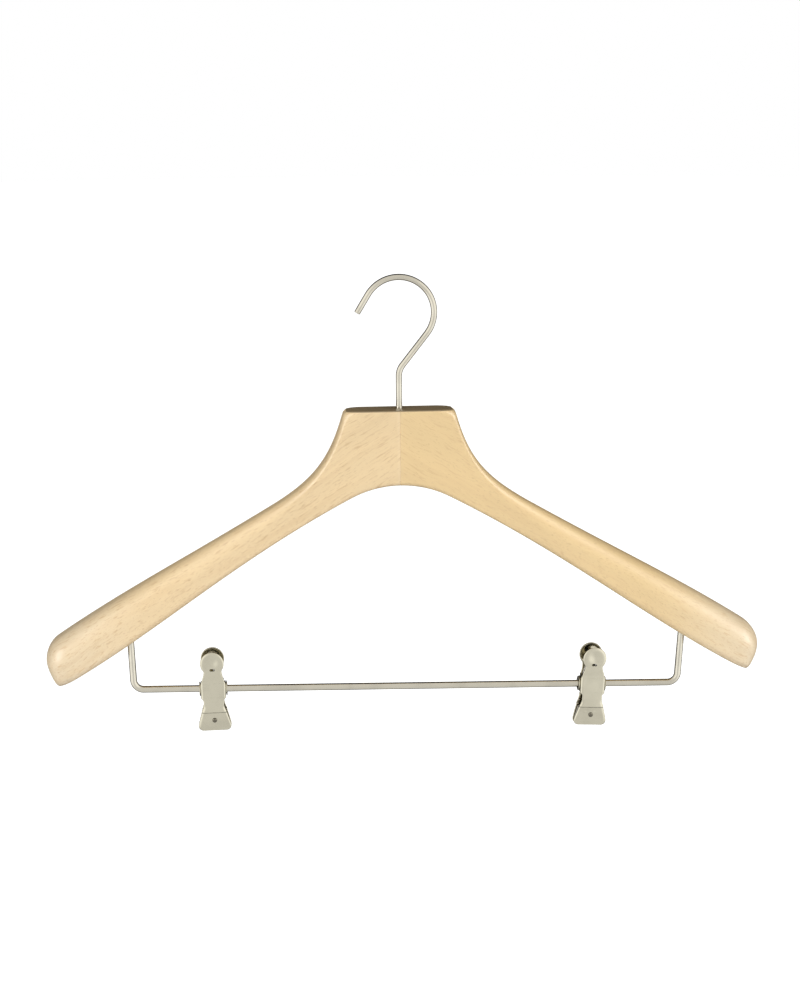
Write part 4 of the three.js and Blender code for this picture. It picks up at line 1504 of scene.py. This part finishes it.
    def build_jaw(self, jaw: Jaw) -> None:
        """Makes and dresses a jaw, its pad and its rivet.

        Args:
            jaw: front or rear.
        """
        place = jaw.name.lower()
        body = f"{self.name}_{place}"
        matrix = self.matrix(jaw)
        plate = make_piece(f"{body}_plate", self.jaw_sheet(jaw).skin().moved(matrix))
        cut(plate, [tool.moved(matrix) for tool in self.jaw_tools()])
        dress(plate, NICKEL_SHEET, body, f"{body}_jaw")
        grip = make_piece(f"{body}_grip", self.pad_sheet().skin().moved(matrix))
        dress(grip, PAD_RUBBER, body, f"{body}_pad")
        dome = make_piece(f"{body}_dome", self.rivet_skin().moved(matrix))
        dress(dome, RIVET_STEEL, body, f"{body}_rivet")

    def build(self) -> None:
        """Makes and dresses the clip from the tube outwards."""
        matrix = self.matrix()
        sleeve = make_piece(f"{self.name}_sleeve", self.tube_skin().moved(matrix))
        dress(sleeve, NICKEL_SHEET, f"{self.name}_slider", f"{self.name}_tube")
        for jaw in Jaw:
            self.build_jaw(jaw)
        coil = make_piece(f"{self.name}_coil", self.spring_skin().moved(matrix))
        coil.data.materials.append(SPRING_STEEL.material())
        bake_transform(coil)
        note(coil, SPRING_STEEL, f"{self.name}_spring")


# Studio


@dataclass
class Studio:
    """A white floor far below the hanging part, two soft boxes at its sides and the photograph's camera.

    Lengths are metres and angles are degrees. A span is two cosines of the angle from a direction, between
    which a level changes.

    Attributes:
        floor_glow: level of the floor as the camera sees it.
        fill: level of the light from the front.
        fill_behind: and of the light from behind.
        mirrored: level in front as reflections see it.
        mirrored_below: share of it that is left straight below.
        mirrored_boxes: what the soft boxes add to it.
        dark_level: level overhead as reflections see it.
        dark_behind: share of the level that is left behind.
    """

    floor_height: float = -0.8
    floor_radius: float = 9.0
    floor_sides: int = 96
    floor_colour: Colour = (0.86, 0.86, 0.85)
    floor_glow: float = 0.98
    lamp_power: float = 34.5
    lamp_size: tuple[float, float] = (1.6, 2.0)
    lamp_distance: float = 2.3
    lamp_azimuth: float = 60.0
    lamp_elevation: float = 27.0
    light_colour: Colour = (1.0, 0.99, 0.97)
    fill: float = 0.5
    fill_behind: float = 0.18
    fill_towards: tuple[float, float, float] = (0.0, -0.98, -0.17)
    fill_span: tuple[float, float] = (-0.3, 0.9)
    mirrored: float = 0.93
    mirrored_below: float = 0.95
    below_span: tuple[float, float] = (0.2, 0.8)
    mirrored_boxes: float = 0.5
    box_span: tuple[float, float] = (0.6, 0.94)
    dark_level: float = 0.04
    dark_towards: tuple[float, float, float] = (0.0, 0.77, 0.64)
    dark_span: tuple[float, float] = (0.45, 0.85)
    dark_behind: float = 0.22
    behind_span: tuple[float, float] = (-0.35, -0.05)
    camera_distance: float = 2.0
    camera_azimuth: float = -4.5
    camera_elevation: float = 11.3
    camera_roll: float = 0.38
    camera_aim: tuple[float, float, float] = (0.0002, 0.0, -0.139)
    camera_lens: float = 113.7
    camera_sensor: float = 36.0

    @staticmethod
    def direction(azimuth: float, elevation: float) -> Vector:
        """Unit vector from the part to a point at an azimuth from the front and an elevation."""
        a, e = math.radians(azimuth), math.radians(elevation)
        return Vector((math.sin(a) * math.cos(e), -math.cos(a) * math.cos(e), math.sin(e)))

    @staticmethod
    def facing(nodes: Nodes, heading: bpy.types.NodeSocket, towards: Vector) -> bpy.types.NodeSocket:
        """Cosine of the angle between a heading and a direction."""
        sockets = {0: heading, 1: tuple(towards.normalized())}
        return nodes.add("VectorMath", sockets, operation="DOT_PRODUCT").outputs["Value"]

    def mirrored_level(self, nodes: Nodes, heading: bpy.types.NodeSocket) -> bpy.types.NodeSocket:
        """The level round the part as reflections see it: bright in front, more at the boxes, dark behind.

        Args:
            nodes: of the world or of the floor.
            heading: unit vector from the part.

        Returns:
            The level, which is also dark overhead and lower straight below.
        """
        flat = nodes.add("VectorMath", {0: heading, 1: (1.0, 1.0, 0.0)}, operation="MULTIPLY").outputs[0]
        around = nodes.add("VectorMath", {0: flat}, operation="NORMALIZE").outputs[0]
        front = self.facing(nodes, around, Vector((0.0, -1.0, 0.0)))
        above = self.facing(nodes, heading, Vector(self.dark_towards))
        down = self.facing(nodes, heading, Vector((0.0, 0.0, -1.0)))
        level = nodes.span(above, self.dark_span, (self.mirrored, self.dark_level))
        level = nodes.math("MULTIPLY", level, nodes.span(front, self.behind_span, (self.dark_behind, 1.0)))
        level = nodes.math("MULTIPLY", level, nodes.span(down, self.below_span, (1.0, self.mirrored_below)))
        ends = (self.direction(way * self.lamp_azimuth, 0.0) for way in (-1.0, 1.0))
        left, right = (self.facing(nodes, heading, end) for end in ends)
        boxes = nodes.span(nodes.math("MAXIMUM", left, right), self.box_span, (0.0, self.mirrored_boxes))
        return nodes.math("ADD", level, boxes)

    @staticmethod
    def seen(nodes: Nodes, path: Sockets) -> bpy.types.NodeSocket:
        """One for rays from the camera and through clear things."""
        return nodes.math("MAXIMUM", path["Is Camera Ray"], path["Is Transmission Ray"])

    def floor(self) -> None:
        """A disc that glows for the camera and for reflections, and takes a shadow as a pale floor does."""
        height, radius = self.floor_height / MILLIMETRE, self.floor_radius / MILLIMETRE
        disc = make_piece("floor", lathe(np.array([[0.0, height], [radius, height]]), self.floor_sides))
        material = bpy.data.materials.new("pale_floor")
        nodes = Nodes.of(material)
        path = nodes.add("LightPath").outputs
        place = nodes.add("TexCoord").outputs["Object"]
        away = nodes.add("VectorMath", {0: place, 1: self.camera_aim}, operation="SUBTRACT").outputs[0]
        heading = nodes.add("VectorMath", {0: away}, operation="NORMALIZE").outputs[0]
        mirrored = nodes.add("Emission", {"Strength": self.mirrored_level(nodes, heading)})
        shown = nodes.math("MULTIPLY", self.seen(nodes, path), self.floor_glow)
        glow = nodes.add("Emission", {"Strength": shown})
        paint = nodes.add("BsdfDiffuse", {"Color": (*self.floor_colour, 1.0)})
        pale = nodes.add("AddShader", {0: paint.outputs[0], 1: glow.outputs[0]})
        sockets = {0: path["Is Glossy Ray"], 1: pale.outputs[0], 2: mirrored.outputs[0]}
        nodes.add("OutputMaterial", {"Surface": nodes.add("MixShader", sockets).outputs[0]})
        disc.data.materials.append(material)

    def world(self) -> None:
        """White to the camera, a soft fill from the front, and for reflections dark overhead and behind."""
        world = bpy.data.worlds.new("studio")
        nodes = Nodes.of(world)
        path = nodes.add("LightPath").outputs
        heading = nodes.add("TexCoord").outputs["Generated"]
        mirrored = self.mirrored_level(nodes, heading)
        front = self.facing(nodes, heading, Vector(self.fill_towards))
        fill = nodes.span(front, self.fill_span, (self.fill_behind, self.fill))
        strength = nodes.add("Mix", {0: path["Is Glossy Ray"], 2: fill, 3: mirrored}, data_type="FLOAT")
        sockets = {"Color": (*self.light_colour, 1.0), "Strength": strength.outputs[0]}
        light = nodes.add("Background", sockets)
        white = nodes.add("Background", {"Color": (1.0, 1.0, 1.0, 1.0), "Strength": 1.0})
        mixed = nodes.add("MixShader", {0: self.seen(nodes, path), 1: light.outputs[0], 2: white.outputs[0]})
        nodes.add("OutputWorld", {"Surface": mixed.outputs[0]})
        bpy.context.scene.world = world

    def lamps(self, spared: bpy.types.Collection) -> None:
        """Two upright soft boxes, left and right of the camera.

        Args:
            spared: the pieces that the boxes don't light.
        """
        aim = Vector(self.camera_aim)
        for number, way in enumerate((-1.0, 1.0)):
            data = bpy.data.lights.new(f"soft_box_{number}", "AREA")
            data.shape = "RECTANGLE"
            data.size, data.size_y = self.lamp_size
            data.energy = self.lamp_power
            lamp = bpy.data.objects.new(data.name, data)
            towards = self.direction(way * self.lamp_azimuth, self.lamp_elevation)
            lamp.location = aim + self.lamp_distance * towards
            lamp.rotation_euler = towards.to_track_quat("Z", "Y").to_euler()
            lamp.light_linking.receiver_collection = spared
            bpy.context.scene.collection.objects.link(lamp)

    @staticmethod
    def plated_pieces() -> bpy.types.Collection:
        """The plated pieces, set to be left out by a lamp: they mirror only the world and the floor."""
        plated = bpy.data.collections.new("plated_pieces")
        names = {NICKEL_WIRE.name, NICKEL_SHEET.name}
        for piece in bpy.data.objects:
            if names & {slot.name for slot in piece.material_slots}:
                plated.objects.link(piece)
        for member in plated.collection_objects:
            member.light_linking.link_state = "EXCLUDE"
        return plated

    def camera(self) -> None:
        """The photograph's camera: its distance, height, side and small roll."""
        data = bpy.data.cameras.new("photo_camera")
        data.lens = self.camera_lens
        data.sensor_width = self.camera_sensor
        back = self.direction(self.camera_azimuth, self.camera_elevation)
        turned = math.radians(self.camera_azimuth)
        level = Vector((math.cos(turned), math.sin(turned), 0.0))
        over = back.cross(level)
        roll = math.radians(self.camera_roll)
        right = level * math.cos(roll) - over * math.sin(roll)
        up = level * math.sin(roll) + over * math.cos(roll)
        turn = Matrix((right, up, back)).transposed().to_4x4()
        camera = bpy.data.objects.new("photo_camera", data)
        camera.matrix_world = Matrix.Translation(Vector(self.camera_aim) + self.camera_distance * back) @ turn
        bpy.context.scene.collection.objects.link(camera)
        bpy.context.scene.camera = camera

    def build(self) -> None:
        """Sets up everything round the part."""
        bpy.context.scene.view_settings.view_transform = "Standard"
        self.floor()
        self.world()
        self.lamps(self.plated_pieces())
        self.camera()


def main() -> None:
    """Builds the part's pieces in order and the studio round them."""
    logging.basicConfig(level=logging.INFO, format="%(message)s")
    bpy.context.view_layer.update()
    hook = Hook()
    bar = TrouserBar()
    Body(bar, hook).build()
    hook.build()
    bar.build()
    for side in Side:
        Clip(side, bar).build()
    Studio().build()
    bpy.context.view_layer.update()


if __name__ == "__main__":
    main()
